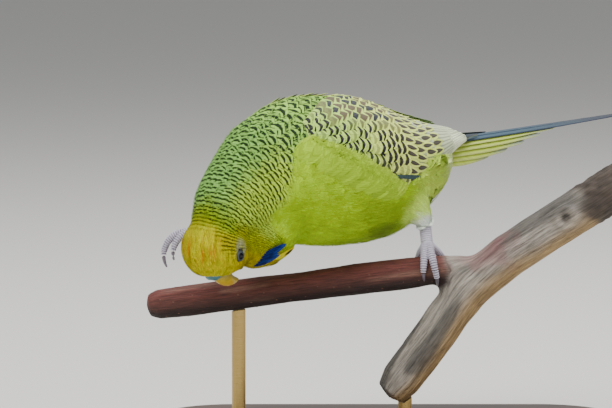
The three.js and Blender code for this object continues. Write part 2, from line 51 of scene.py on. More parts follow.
# sRGB hex to linear
def colour(text, alpha=1.0):
    parts = [int(text[i:i + 2], 16) / 255 for i in (1, 3, 5)]
    return tuple(c / 12.92 if c <= 0.04045 else ((c + 0.055) / 1.055) ** 2.4 for c in parts) + (alpha,)


def rgb(text):
    return np.array(colour(text)[:3])


# one node with its settings, and its inputs as values or links
def addNode(tree, kind, settings=None, inputs=None):
    node = tree.nodes.new(kind)
    for key, value in (settings or {}).items():
        setattr(node, key, value)
    for key, value in (inputs or {}).items():
        if isinstance(value, bpy.types.NodeSocket):
            tree.links.new(value, node.inputs[key])
        else:
            node.inputs[key].default_value = value
    return node


def newMaterial(name, settings=None):
    material = bpy.data.materials.new(name)
    material.use_nodes = True
    tree = material.node_tree
    tree.nodes.clear()
    output = addNode(tree, "ShaderNodeOutputMaterial")
    shader = addNode(tree, "ShaderNodeBsdfPrincipled", inputs=settings)
    tree.links.new(shader.outputs[0], output.inputs[0])
    return material, tree, shader


def objectPlace(tree):
    return addNode(tree, "ShaderNodeTexCoord").outputs["Object"]


def noiseNode(tree, vector, scale, detail=2.0, **more):
    inputs = {"Vector": vector, "Scale": scale, "Detail": detail, **more}
    return addNode(tree, "ShaderNodeTexNoise", inputs=inputs).outputs[0]


def mathNode(tree, operation, *values):
    return addNode(tree, "ShaderNodeMath", {"operation": operation}, dict(enumerate(values))).outputs[0]


def mixNode(tree, share, low, high):
    return addNode(tree, "ShaderNodeMix", {"data_type": "RGBA"}, {0: share, 6: low, 7: high}).outputs[2]


def rangeNode(tree, value, fromLow, fromHigh, toLow, toHigh, kind="LINEAR"):
    inputs = dict(enumerate((value, fromLow, fromHigh, toLow, toHigh)))
    return addNode(tree, "ShaderNodeMapRange", {"interpolation_type": kind}, inputs).outputs[0]


# colour ramp through stops given as (position, colour)
def rampNode(tree, share, *stops):
    ramp = addNode(tree, "ShaderNodeValToRGB", inputs={0: share})
    elements = ramp.color_ramp.elements
    elements.remove(elements[1])
    for n, (position, tone) in enumerate(stops):
        stop = elements[0] if n == 0 else elements.new(position)
        stop.position, stop.color = position, tone
    return ramp.outputs[0]


# base colour from one socket, and bump from another
def paint(tree, shader, tone, height=None, strength=0.0, distance=0.0001, isPitted=False):
    tree.links.new(tone, shader.inputs["Base Color"])
    if height is not None:
        bump = addNode(tree, "ShaderNodeBump", {"invert": isPitted},
                       {"Strength": strength, "Distance": distance, "Height": height})
        tree.links.new(bump.outputs[0], shader.inputs["Normal"])


# material of two colours mixed by clouds or cells, which can raise it too
def mottled(name, tones, scale, roughness, isCells=False, detail=2.0, strength=0.0, distance=0.0001,
            isPitted=False):
    material, tree, shader = newMaterial(name, {"Roughness": roughness})
    if isCells:
        cells = addNode(tree, "ShaderNodeTexVoronoi", inputs={"Vector": objectPlace(tree), "Scale": scale})
        share = cells.outputs["Distance"]
    else:
        share = noiseNode(tree, objectPlace(tree), scale, detail)
    tone = mixNode(tree, share, *(colour(text) for text in tones))
    paint(tree, shader, tone, share if strength else None, strength, distance, isPitted)
    return material


def unit(v):
    return v / np.maximum(np.linalg.norm(v, axis=-1, keepdims=True), 1e-9)


def smooth(low, high, x):
    t = np.clip((np.asarray(x, float) - low) / (high - low), 0, 1)
    return t * t * (3 - 2 * t)


def mix(a, b, t):
    t = np.asarray(t)[..., None]
    return a * (1 - t) + b * t


# smooth run through rows of numbers, as the solid's own stations are run through
def runThrough(rows, u):
    rows = np.asarray(rows, float)
    at = np.clip(u, 0, 1) * (len(rows) - 1)
    i = np.minimum(at.astype(int), len(rows) - 2)
    f = (at - i)[..., None]
    a, b, c, d = (rows[np.clip(i + k, 0, len(rows) - 1)] for k in (-1, 0, 1, 2))
    return b + 0.5 * f * (c - a + f * (2 * a - 5 * b + 4 * c - d + f * (3 * (b - c) + d - a)))


def turn(axis, degrees):
    c, s = math.cos(math.radians(degrees)), math.sin(math.radians(degrees))
    if axis == "x":
        return np.array([[1, 0, 0], [0, c, -s], [0, s, c]])
    if axis == "y":
        return np.array([[c, 0, s], [0, 1, 0], [-s, 0, c]])
    return np.array([[c, -s, 0], [s, c, 0], [0, 0, 1]])


# The bird's own frame in mm: x to the breast, y to its left, z up. The head's: x to the bill, z to the crown.
bird = {
    "yaw": 218.0,
    "fromFoot": (-33.0, 0.0, 0.0),
    "head": (54.4, 4.0, 10.8),
    "headTurn": 7.0,
    "headPitch": 96.0,
    "eye": (2.4, 8.9, -1.4),
}
birdTurn = turn("z", bird["yaw"])
headTurn = turn("z", bird["headTurn"]) @ turn("y", bird["headPitch"])
eyeLow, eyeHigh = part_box("eye_left")
eyeMiddle = np.array((eyeLow + eyeHigh) / 2) / mm


def fromHead(p):
    return np.asarray(p, float) @ headTurn.T + bird["head"]


def toHead(p):
    return (np.asarray(p, float) - bird["head"]) @ headTurn


birdPlace = eyeMiddle - birdTurn @ fromHead(bird["eye"])
footPlace = birdPlace - bird["fromFoot"]


def toWorld(p):
    return (np.asarray(p, float) @ birdTurn.T + birdPlace) * mm


def toBird(p):
    return (np.asarray(p, float) / mm - birdPlace) @ birdTurn


def newObject(name, data):
    piece = bpy.data.objects.new(name, data)
    bpy.context.scene.collection.objects.link(piece)
    return piece


# gives the function that repeats each vane's values at all of its points
def spreading(each):
    return lambda values: np.repeat(np.asarray(values, float), each, axis=0)


# one, three or four numbers at each point, as a number, a vector or a colour
def setAttribute(mesh, key, values):
    values = np.asarray(values, np.float32)
    kinds = {1: ("FLOAT", "value"), 3: ("FLOAT_VECTOR", "vector"), 4: ("FLOAT_COLOR", "color")}
    kind, field = kinds[values.shape[1]]
    mesh.attributes.new(key, kind, "POINT").data.foreach_set(field, values.ravel())


def setPoints(mesh, points):
    mesh.vertices.foreach_set("co", np.asarray(points, np.float32).ravel())
    mesh.update()


def newPiece(name, points, faces, material, attributes=None, uvs=None):
    points, faces = np.asarray(points, np.float32), np.asarray(faces, np.int32)
    mesh = bpy.data.meshes.new(name)
    sides = faces.shape[1]
    mesh.vertices.add(len(points))
    mesh.vertices.foreach_set("co", points.ravel())
    mesh.loops.add(faces.size)
    mesh.loops.foreach_set("vertex_index", faces.ravel())
    mesh.polygons.add(len(faces))
    mesh.polygons.foreach_set("loop_start", np.arange(0, faces.size, sides, dtype=np.int32))
    mesh.polygons.foreach_set("use_smooth", np.ones(len(faces), bool))
    mesh.update(calc_edges=True)
    for key, values in (attributes or {}).items():
        setAttribute(mesh, key, values)
    if uvs is not None:
        layer = mesh.uv_layers.new(name="OFBake")
        layer.data.foreach_set("uv", np.asarray(uvs, np.float32)[faces.ravel()].ravel())
    mesh.validate()
    piece = newObject(name, mesh)
    mesh.materials.append(material)
    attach(piece, "root")
    return piece


def meshArrays(mesh):
    co = np.zeros(len(mesh.vertices) * 3, np.float32)
    mesh.vertices.foreach_get("co", co)
    normals = np.zeros(len(mesh.vertices) * 3, np.float32)
    mesh.vertex_normals.foreach_get("vector", normals)
    mesh.calc_loop_triangles()
    triangles = np.zeros(len(mesh.loop_triangles) * 3, np.int32)
    mesh.loop_triangles.foreach_get("vertices", triangles)
    return co.reshape(-1, 3).astype(float), normals.reshape(-1, 3).astype(float), triangles.reshape(-1, 3)


# a merged copy of CAD nodes as one object, grown outwards so that neighbours meet
def mergedCopy(name, nodeNames, grow=0.0):
    joined = bmesh.new()
    for nodeName in nodeNames:
        one = bmesh.new()
        one.from_mesh(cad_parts[nodeName].data)
        bmesh.ops.remove_doubles(one, verts=one.verts, dist=2e-6)
        one.normal_update()
        for vert in one.verts:
            vert.co += vert.normal * grow * mm
        part = bpy.data.meshes.new("part")
        one.to_mesh(part)
        one.free()
        joined.from_mesh(part)
        bpy.data.meshes.remove(part)
    mesh = bpy.data.meshes.new(name)
    joined.to_mesh(mesh)
    joined.free()
    return newObject(name, mesh)


# modifiers given as (kind, settings), applied to the mesh
def applied(piece, *steps):
    for kind, settings in steps:
        modifier = piece.modifiers.new(kind.title(), kind)
        for key, value in settings.items():
            setattr(modifier, key, value)
    graph = bpy.context.evaluated_depsgraph_get()
    graph.update()
    mesh = bpy.data.meshes.new_from_object(piece.evaluated_get(graph))
    piece.modifiers.clear()
    old = piece.data
    piece.data = mesh
    mesh.name = piece.name
    bpy.data.meshes.remove(old)
    mesh.polygons.foreach_set("use_smooth", np.ones(len(mesh.polygons), bool))
    return piece


def remeshed(piece, voxel):
    return applied(piece, ("REMESH", {"mode": "VOXEL", "voxel_size": voxel * mm, "use_smooth_shade": True}))


def finished(piece, material, slot, *replaced):
    piece.data.materials.clear()
    piece.data.materials.append(material)
    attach(piece, "root")
    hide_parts(*replaced)
    return piece


# smooth value noise between -1 and 1, the same each run
def valueNoise(points, size, seed=0):
    grid = np.asarray(points, float) / size
    low = np.floor(grid).astype(np.int64)
    f = grid - low
    f = f * f * (3 - 2 * f)
    total = np.zeros(grid.shape[:-1])
    for corner in range(8):
        offset = np.array([corner & 1, corner >> 1 & 1, corner >> 2 & 1])
        key = low + offset
        h = key[..., 0] * 374761393 + key[..., 1] * 668265263 + key[..., 2] * 2147483647 + seed * 974634777
        h = (h ^ (h >> 13)) * 1274126177 & 0x7FFFFFFF
        h = (h ^ (h >> 16)) & 0xFFFF
        weight = np.prod(np.where(offset, f, 1 - f), axis=-1)
        total += weight * (h / 32767.5 - 1)
    return total


# where a point lies on the bird: mm behind the bill along its middle line, and degrees up its flank
middleLine = np.array([(-52, -0.6, 38), (-38, -0.4, 37), (-22, 0, 35.5), (-5, 0, 34.5), (13, 0, 34.2),
                       (28, 0.6, 32.2), (40.5, 1.8, 26), (49, 3, 18.5), (54, 3.8, 9.5), (53, 4, -1)], float)
fineLine = runThrough(middleLine, np.linspace(0, 1, 220))
behindBill = np.r_[0, np.cumsum(np.linalg.norm(np.diff(fineLine, axis=0), axis=1))]
behindBill = behindBill[-1] - behindBill
lineAhead = unit(np.gradient(fineLine, axis=0))
lineLeft = unit(np.array([0, 1.0, 0]) - lineAhead * lineAhead[:, 1:2])
lineBack = np.cross(lineAhead, lineLeft)


def onBody(points):
    points = np.asarray(points, float)
    nearest = np.concatenate([((part[:, None] - fineLine) ** 2).sum(-1).argmin(1)
                              for part in np.array_split(points, max(1, len(points) // 4000))])
    out = points - fineLine[nearest]
    around = np.degrees(np.arctan2((out * lineBack[nearest]).sum(-1), (out * lineLeft[nearest]).sum(-1)))
    up = np.degrees(np.arcsin(np.clip(np.sin(np.radians(around)), -1, 1)))
    return behindBill[nearest], up, around


coat = {
    "skinVoxel": 0.75,
    "depthFace": 0.75,
    "depthBody": 1.5,
    "overlap": 2.7,        # how many rows a vane reaches over
    "rowSteps": [(0, 0.8), (9, 0.85), (16, 0.95), (26, 1.15), (40, 1.5), (56, 2.3), (80, 2.6), (200, 2.6)],
    "legReach": 22.0,
    "seed": 7,
    "rows": 6,
    "columns": 5,
    "swing": 0.05,
    "ragged": 0.04,
    "bend": 0.035,
    "strayReach": 1.1,     # a vane or barb farther than this off the surface is left out
    "patch": 0.003,        # side of a tuft's place on its map
    "barbsPerVane": 15,
    "barbWidth": 0.13,
    "tipLift": 0.12,
}

# edge between the barred nape and the plain breast: mm behind the bill, degrees up the flank
barEdge = np.array([(0, -30), (14, -42), (25.4, -43), (31, -20), (37, -12), (42, 7), (46, 26), (52, 30),
                    (61, 30), (95, 40), (130, 60)], float)

plumage = {
    "forehead": "#C0B800", "chin": "#B2A400", "cheek": "#B0B808",
    "crown": "#96B218", "nape": "#8CC25C", "neck": "#BCDC44", "mantle": "#9CCA58",
    "back": "#84B030", "breast": "#A4C81A", "belly": "#6A8222", "flank": "#9CC02A",
    "throat": "#A8B60C", "vent": "#B8D250", "ventPale": "#D5DEAC", "thigh": "#C8E662",
    "thighLow": "#E6EEE2",
    "napeBar": "#0E1C12", "mantleBar": "#0A121C", "cheekBar": "#24260A", "streak": "#C4560A",
    "behindEye": "#9DA08A",
}
plumage = {key: rgb(text) for key, text in plumage.items()}


def thighShare(points):
    left = np.array([(-17, 8, 27), (-9, 5, 23.5), (-3.6, 2.6, 18.5), (-0.9, 1.6, 12.2)], float)
    left = (left + (33, 0, 0)) @ turn("z", bird["yaw"])
    right = np.array([(4, -12.5, 23), (13, -17.5, 19.5), (22, -20.5, 16.8), (31, -21.6, 14.8)], float)
    best = np.zeros(len(points))
    low = np.zeros(len(points))
    for path, radii in ((left, (8.5, 7.2, 4.8, 2.9)), (right, (8, 6.6, 4.6, 2.9))):
        t = np.linspace(0, 1, 40)
        line, radius = runThrough(path, t), runThrough(np.array(radii)[:, None], t)[:, 0]
        away = np.linalg.norm(points[:, None] - line, axis=-1) - radius
        k = away.argmin(1)
        near = 1 - smooth(0.4, 2.2, away[np.arange(len(points)), k])
        near *= smooth(0.25, 0.5, t[k])
        low = np.where(near > best, t[k], low)
        best = np.maximum(best, near)
    return best, low


# the plumage's colours and bars at a place on the bird
def markings(points):
    s, up, _ = onBody(points)
    wander = valueNoise(points, 7.0, 3)
    fine = valueNoise(points, 2.4, 5)
    edge = np.interp(s, barEdge[:, 0], barEdge[:, 1]) + 5 * wander
    dorsal = smooth(-6, 10, up - edge)
    head = toHead(points)

    # the lower belly is painted darker olive, as shade under the body
    ventral = mix(plumage["breast"], plumage["belly"], smooth(60, 85, s) * smooth(-10, -60, up))
    ventral = mix(ventral, plumage["flank"], smooth(-35, 0, up) * smooth(48, 62, s))
    ventral = mix(plumage["throat"], ventral, smooth(22, 42, s + 0.12 * (up + 60)))
    ventral = mix(ventral, plumage["breast"] * 1.14, 0.5 + 0.5 * wander)
    ventral = ventral * (1 + 0.14 * fine)[:, None]
    ventral = mix(ventral, plumage["vent"], smooth(93, 103, s - 4 * wander))
    ventral = mix(ventral, plumage["ventPale"], 0.75 * smooth(113, 120, s) * smooth(-50, -20, up))
    back = mix(plumage["nape"], plumage["neck"], smooth(70, 15, up + 8 * wander) * smooth(60, 40, s))
    back = mix(back, plumage["mantle"], smooth(38, 56, s))
    back = mix(back, plumage["back"], smooth(78, 95, s))
    ground = mix(ventral, back, dorsal)
    cheeks = mix(plumage["chin"], plumage["cheek"], smooth(9, 17, s) * smooth(-75, -40, up))
    crown = smooth(11.5, 17.5, s + 2.5 * wander) * smooth(-20, 25, up)
    crown = mix(plumage["forehead"], plumage["crown"], crown)
    headGround = mix(cheeks, crown, smooth(-22, 12, up))
    # dark streaks on the face, painted as shade in the gaps between the fine feathers
    gapShade = smooth(-0.1, 0.8, valueNoise(head * [0.35, 1.3, 1.3], 1.3, 17)) * (s < 15)
    headGround = mix(headGround, plumage["chin"] * 0.45, 0.55 * gapShade)
    streaks = smooth(0.0, 0.6, valueNoise(head * [0.4, 1.5, 1.5], 1.2, 13))
    streaks = streaks * np.exp(-((s - 10) / 3.4) ** 2)
    headGround = mix(headGround, plumage["streak"], 0.5 * streaks * smooth(22, 45, up))
    oneSide = head * [1, 0, 1] + np.abs(head) * [0, 1, 0]
    behindEye = np.linalg.norm((oneSide - (-0.3, 10.6, -1.7)) / (3.3, 4, 2.7), axis=-1)
    behindEye = smooth(1.15, 0.5, behindEye)
    headGround = mix(headGround, plumage["behindEye"], 0.85 * behindEye)
    ground = mix(headGround, ground, smooth(17, 25, s + 2 * wander))
    leg, low = thighShare(points)
    thigh = mix(plumage["thigh"], plumage["thighLow"], smooth(0.58, 0.8, low + 0.08 * fine))
    ground = mix(ground, thigh, leg * smooth(0.3, 0.55, low))

    bar = mix(plumage["napeBar"], plumage["mantleBar"], smooth(36, 52, s))
    cheekSide = smooth(-4, -18, up) * smooth(30, 22, s)
    bar = mix(bar, plumage["cheekBar"], cheekSide)
    start = 14.0 - 4.6 * smooth(50, 20, up) + 2.6 * smooth(0, -50, up)
    amount = smooth(start - 1.2, start + 2.2, s + 1.4 * fine)
    amount *= np.where(s < 27, np.maximum(dorsal, smooth(-62, -52, up)), dorsal)
    amount *= (1 - 0.1 * cheekSide) * (1 - 0.8 * behindEye) * 0.95
    amount *= smooth(112, 84, s)
    amount *= 1 - leg
    amount *= smooth(-0.98, -0.8, valueNoise(points, 4.0, 11))
    return ground, bar, np.clip(amount, 0, 1)


# the vanes' spacing across the lie, in mm
def spacing(points):
    s, up, _ = onBody(points)
    leg = thighShare(points)[0]
    dorsal = smooth(-25, 15, up)
    wide = np.interp(s, (0, 9, 16, 26, 40, 56, 80, 130), (1.0, 1.15, 1.9, 3.2, 4.4, 5.4, 5.0, 4.0))
    thin = np.interp(s, (0, 9, 16, 26, 40, 56, 80, 130), (1.0, 1.1, 1.4, 1.9, 2.4, 2.9, 3.2, 3.0))
    across = thin + (wide - thin) * dorsal
    return across * (1 - leg) + 1.9 * leg


# arrival order from a set of starting points over a triangle mesh, at a cost for each mm
def travel(points, triangles, starts, cost):
    arrive = np.full(len(points), 1e9)
    arrive[starts] = 0
    corners = [(triangles[:, k], triangles[:, (k + 1) % 3], triangles[:, (k + 2) % 3]) for k in range(3)]
    c = np.concatenate([x[0] for x in corners])
    a = np.concatenate([x[1] for x in corners])
    b = np.concatenate([x[2] for x in corners])
    price = cost[c]
    ea, eb = (points[a] - points[c]) * price[:, None], (points[b] - points[c]) * price[:, None]
    aa, ab, bb = (ea * ea).sum(1), (ea * eb).sum(1), (eb * eb).sum(1)
    det = np.maximum(aa * bb - ab * ab, 1e-12)
    qaa, qab, qbb = bb / det, -ab / det, aa / det
    la, lb = np.sqrt(aa), np.sqrt(bb)
    one = qaa + 2 * qab + qbb
    for _ in range(600):
        ta, tb = arrive[a], arrive[b]
        oneD = ta * (qaa + qab) + tb * (qab + qbb)
        dd = ta * ta * qaa + 2 * ta * tb * qab + tb * tb * qbb
        root = oneD * oneD - one * (dd - 1)
        t = (oneD + np.sqrt(np.maximum(root, 0))) / one
        wa = qaa * (ta - t) + qab * (tb - t)
        wb = qab * (ta - t) + qbb * (tb - t)
        good = (root > 0) & (wa < 0) & (wb < 0) & (ta < 1e8) & (tb < 1e8)
        best = np.where(good, t, np.minimum(ta + la, tb + lb))
        new = arrive.copy()
        np.minimum.at(new, c, best)
        if np.abs(new - arrive).max() < 1e-4:
            break
        arrive = new
    return arrive


def edgesOf(triangles):
    pairs = np.concatenate([triangles[:, [0, 1]], triangles[:, [1, 2]], triangles[:, [2, 0]]])
    return np.unique(np.sort(pairs, 1), axis=0)


def smoothed(values, edges, count, rounds):
    for _ in range(rounds):
        total = np.zeros((count,) + values.shape[1:])
        np.add.at(total, edges[:, 0], values[edges[:, 1]])
        np.add.at(total, edges[:, 1], values[edges[:, 0]])
        n = np.bincount(edges.ravel(), minlength=count).astype(float)
        n = n[:, None] if values.ndim > 1 else n
        values = 0.5 * values + 0.5 * total / np.maximum(n, 1)
    return values


print("surface of the plumage")
fleshNodes = ("head", "neck", "trunk", "thigh_left", "thigh_right")
skin = remeshed(mergedCopy("skin", fleshNodes, 0.3), coat["skinVoxel"])
worldPoints, _, triangles = meshArrays(skin.data)
edges = edgesOf(triangles)
surface = toBird(worldPoints)
surface = smoothed(surface, edges, len(surface), 5)


def vertexNormals(points, triangles):
    normal = np.cross(points[triangles[:, 1]] - points[triangles[:, 0]],
                      points[triangles[:, 2]] - points[triangles[:, 0]])
    total = np.zeros_like(points)
    for k in range(3):
        np.add.at(total, triangles[:, k], normal)
    return unit(total)


surfaceNormals = smoothed(vertexNormals(surface, triangles), edges, len(surface), 4)
surfaceNormals = unit(surfaceNormals)
leg, low = thighShare(surface)
surface = surface - (0.15 + 1.1 * leg * smooth(0.5, 0.85, low))[:, None] * surfaceNormals
surface = smoothed(surface, edges, len(surface), 2)
print(len(surface), "points on the surface")


def nodeTree(*names):
    verts, faces = [], []
    for name in names:
        points, _, tris = meshArrays(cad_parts[name].data)
        faces.extend((tris + len(verts)).tolist())
        verts.extend(toBird(points).tolist())
    return BVHTree.FromPolygons(verts, faces)


def awayFrom(tree, points, reach):
    out = np.full(len(points), reach)
    for i, point in enumerate(points):
        hit = tree.find_nearest(point, reach)
        if hit[0] is not None:
            out[i] = hit[3]
    return out


faceAway = awayFrom(nodeTree("bill_upper", "bill_lower", "cere"), surface, 6.0)
eyeAway = awayFrom(nodeTree("eye_left", "eye_right"), surface, 6.0)
starts = faceAway < 0.8
distance = travel(surface, triangles, starts, np.ones(len(surface)))

# how far back each point lies in the coat: round the bill on the face, then along the body and down the legs
leg, low = thighShare(surface)
backward = onBody(surface)[0] + coat["legReach"] * low * leg
backward = distance + (backward - distance) * smooth(7, 16, distance)
for _ in range(12):
    backward = smoothed(backward, edges, len(surface), 10)
    backward = np.where(distance < 6, distance, backward)
backward = smoothed(backward, edges, len(surface), 4)
steps = np.linspace(0, 200, 1000)
rowCount = np.cumsum(0.2 / np.interp(steps, *zip(*coat["rowSteps"])))
rowsAt = np.interp(backward, steps, rowCount)
print("rows of vanes:", round(float(rowsAt.max()), 1), "length", round(float(distance.max()), 1))


# slope of a value over the surface, at its points
def slopeOf(values):
    e1 = surface[triangles[:, 1]] - surface[triangles[:, 0]]
    e2 = surface[triangles[:, 2]] - surface[triangles[:, 0]]
    normal = np.cross(e1, e2)
    square = np.maximum((normal ** 2).sum(1, keepdims=True), 1e-12)
    r0, r1, r2 = (values[triangles[:, k]] for k in range(3))
    area = np.sqrt(square)
    slope = (np.cross(normal, e1) * (r2 - r0)[:, None] - np.cross(normal, e2) * (r1 - r0)[:, None]) / area
    total, weight = np.zeros_like(surface), np.zeros((len(surface), 1))
    for k in range(3):
        np.add.at(total, triangles[:, k], slope)
        np.add.at(weight, triangles[:, k], area)
    return total / np.maximum(weight, 1e-9)


# the way that the coat lies, the gap between its rows, and the vanes' gap across
lie = unit(slopeOf(backward))
lie = mix(lie, np.array([-1.0, 0, 0.08]), smooth(104, 114, onBody(surface)[0]) * (1 - leg))
for _ in range(14):
    lie = smoothed(lie, edges, len(surface), 1)
    lie = unit(lie - surfaceNormals * (lie * surfaceNormals).sum(1, keepdims=True))
along = 1 / np.clip(np.linalg.norm(slopeOf(rowsAt), axis=1), 0.28, 1.5)
along = smoothed(along, edges, len(surface), 6)
across = spacing(surface)

surfaceTree = KDTree(len(surface))
for i, point in enumerate(surface):
    surfaceTree.insert(point, i)
surfaceTree.balance()


def nearestPoints(points):
    return np.array([surfaceTree.find(point)[1] for point in points], int)


def settle(points):
    k = nearestPoints(points)
    off = ((points - surface[k]) * surfaceNormals[k]).sum(1, keepdims=True)
    return points - off * surfaceNormals[k], k


# vane roots: places along each whole-numbered row, spaced across it
def rowRoots():
    rng = np.random.default_rng(coat["seed"])
    found = []
    low = rowsAt[triangles].min(1)
    high = rowsAt[triangles].max(1)
    for level in np.arange(0.15, rowsAt.max(), 1.0):
        hit = np.where((low < level) & (high >= level))[0]
        links, place = {}, {}
        for tri in triangles[hit]:
            cut = []
            for m, n in ((tri[0], tri[1]), (tri[1], tri[2]), (tri[2], tri[0])):
                if (rowsAt[m] < level) != (rowsAt[n] < level):
                    key = (min(m, n), max(m, n))
                    if key not in place:
                        f = (level - rowsAt[key[0]]) / (rowsAt[key[1]] - rowsAt[key[0]])
                        place[key] = (surface[key[0]] * (1 - f) + surface[key[1]] * f, key[0])
                    cut.append(key)
            if len(cut) == 2:
                links.setdefault(cut[0], []).append(cut[1])
                links.setdefault(cut[1], []).append(cut[0])
        seen = set()
        for start in links:
            if start in seen:
                continue
            chain = [start]
            seen.add(start)
            for _ in range(2):
                while True:
                    onward = [key for key in links[chain[-1]] if key not in seen]
                    if not onward:
                        break
                    seen.add(onward[0])
                    chain.append(onward[0])
                chain.reverse()
            points = np.array([place[key][0] for key in chain])
            if len(points) < 4:
                continue
            points = np.vstack([points, points[:1]]) if chain[0] in links[chain[-1]] else points
            index = np.array([place[key][1] for key in chain] + [place[chain[0]][1]])[:len(points)]
            step = np.linalg.norm(np.diff(points, axis=0), axis=1) / (across[index[:-1]] * 0.92)
            run = np.r_[0, np.cumsum(step)]
            count = int(run[-1])
            if count < 1:
                continue
            at = (np.arange(count) + rng.random() + 0.12 * rng.normal(size=count)) * run[-1] / (count + 0.01)
            at = np.clip(at, 0, run[-1])
            found.append(np.stack([np.interp(at, run, points[:, k]) for k in range(3)], 1))
    return np.concatenate(found)


print("roots")
roots = rowRoots()
roots, rootIndex = settle(roots)
keep = (eyeAway[rootIndex] > 0.55) & (faceAway[rootIndex] > 0.5)
roots, rootIndex = roots[keep], rootIndex[keep]
print(len(roots), "vanes")


# quads of sheets of points in rows and columns, one sheet after another
def gridQuads(rows, columns, count=1):
    grid = np.arange(rows * columns).reshape(rows, columns)
    quad = np.stack([grid[:-1, :-1], grid[1:, :-1], grid[1:, 1:], grid[:-1, 1:]], -1).reshape(-1, 4)
    return (quad[None] + (np.arange(count) * rows * columns)[:, None, None]).reshape(-1, 4)


# a vane's half width along it, as a share of the widest
def vaneShape(v):
    return np.where(v < 0.45, 0.62 + 0.38 * v / 0.45, np.sqrt(np.clip(1 - ((v - 0.45) / 0.57) ** 2, 0.015, 1)))


# vanes as joined patches that follow the surface
def vanes(roots, length, half, lowLift, tipLift, curl, rng):
    count, rows, columns = len(roots), coat["rows"], coat["columns"]
    k = nearestPoints(roots)
    v = np.linspace(0, 1, rows) ** 0.85
    line, normals = np.zeros((count, rows, 3)), np.zeros((count, rows, 3))
    point = roots.copy()
    angle = (coat["swing"] * rng.normal(size=count))[:, None]
    line[:, 0], normals[:, 0] = point, surfaceNormals[k]
    near = np.full(count, True)
    for i in range(1, rows):
        step = (v[i] - v[i - 1]) * length
        way = unit(lie[k] + angle * np.cross(surfaceNormals[k], lie[k]))
        point, k = settle(point + way * step[:, None])
        line[:, i], normals[:, i] = point, surfaceNormals[k]
        near &= np.linalg.norm(point - surface[k], axis=1) < coat["strayReach"]
    gone = np.linalg.norm(np.diff(line, axis=1), axis=-1)
    steady = near & (gone < 1.6 * np.diff(v) * length[:, None] + 0.1).all(1)
    length, half = length * steady, half * (0.02 + 0.98 * steady)
    # a stray vane shrinks away
    line = np.where(steady[:, None, None], line, line[:, :1] + 1e-3 * (line - line[:, :1]))
    ahead = unit(np.gradient(line, axis=1))
    side = unit(np.cross(normals, ahead))
    u = np.linspace(-1, 1, columns)
    wide = half[:, None, None] * vaneShape(v)[None, :, None] * u
    lift = lowLift[:, None] + (tipLift - lowLift)[:, None] * v ** 0.9
    points = (line[:, :, None] + side[:, :, None] * wide[..., None]
              + normals[:, :, None] * (lift[:, :, None] - coat["bend"] * wide ** 2)[..., None])
    droop = curl[:, None, None] * half[:, None, None] * (1 - np.sqrt(1 - 0.9 * u ** 2))
    back = length[:, None, None] * (1 - v)[None, :, None] - droop
    fringe = coat["ragged"] * length[:, None, None] * rng.normal(size=wide.shape) * (v ** 3)[None, :, None]
    points += ahead[:, :, None] * fringe[..., None]
    tuft = np.stack([np.broadcast_to(part, wide.shape) for part in (u, (v - 0.5)[:, None] * 2)], -1)
    return points.reshape(-1, 3), gridQuads(rows, columns, count), wide.ravel(), back.ravel(), tuft.reshape(-1, 2)


# a tuft's patch at its root's place on the unwrapped surface
def tuftPlace(points, index):
    _, _, around = onBody(points)
    return np.stack([0.03 + 0.94 * (around + 180) / 360, 0.03 + 0.94 * distance[index] / distance.max()], 1)


print("plumage materials")


# Feathers: barbs too fine to see singly, really 0.05 mm apart and drawn 0.3 mm apart, so that they show.
# A bar crosses the vane once in each wave along it. Wing feathers have an oval spot and a dark shaft too.
def featherMaterial(name, look, settings):
    material, tree, shader = newMaterial(name, settings)
    keys = ("ground", "bars", "vane") + (("spot", "centre") if look["shaft"] else ())
    read = {key: addNode(tree, "ShaderNodeAttribute", {"attribute_name": key}).outputs for key in keys}
    split = addNode(tree, "ShaderNodeSeparateXYZ", inputs={0: read["vane"]["Vector"]}).outputs
    wander = noiseNode(tree, objectPlace(tree), look["wanderScale"], 1.0)
    wave = mathNode(tree, "FRACT", mathNode(tree, "MULTIPLY_ADD", wander, look["wander"], split[1]))
    rise, full, fall, end = look["bar"]
    off, on = (0, 0, 0, 1), (1, 1, 1, 1)
    ramp = rampNode(tree, wave, (0.0, off), (rise, off), (full, on), (fall, on), (end, off))
    share = mathNode(tree, "MULTIPLY", ramp, read["bars"]["Alpha"])
    tone = mixNode(tree, share, read["ground"]["Color"], read["bars"]["Color"])
    aside = mathNode(tree, "ABSOLUTE", split[0])
    slant = mathNode(tree, "MULTIPLY_ADD", split[1], look["slant"], aside)
    across = addNode(tree, "ShaderNodeCombineXYZ", inputs={0: slant, 1: split[2]}).outputs[0]
    streak = noiseNode(tree, across, look["streakScale"])
    if look["shaft"]:
        oval = addNode(tree, "ShaderNodeSeparateXYZ", inputs={0: read["spot"]["Vector"]}).outputs
        flat = addNode(tree, "ShaderNodeCombineXYZ", inputs={0: oval[0], 1: oval[1]}).outputs[0]
        far = addNode(tree, "ShaderNodeVectorMath", {"operation": "LENGTH"}, {0: flat}).outputs["Value"]
        inOval = rangeNode(tree, far, 0.82, 1.08, 1.0, 0.0, "SMOOTHSTEP")
        tone = mixNode(tree, mathNode(tree, "MULTIPLY", inOval, oval[2]), tone, read["centre"]["Color"])
        tone = mixNode(tree, rangeNode(tree, aside, 0.0, 0.16, 0.55, 0.0), tone, colour(look["shaft"]))
    value = rangeNode(tree, streak, 0.3, 0.7, *look["shade"])
    toned = addNode(tree, "ShaderNodeHueSaturation", inputs={"Value": value, "Color": tone})
    paint(tree, shader, toned.outputs[0], streak, look["bump"], 0.0002)
    return material


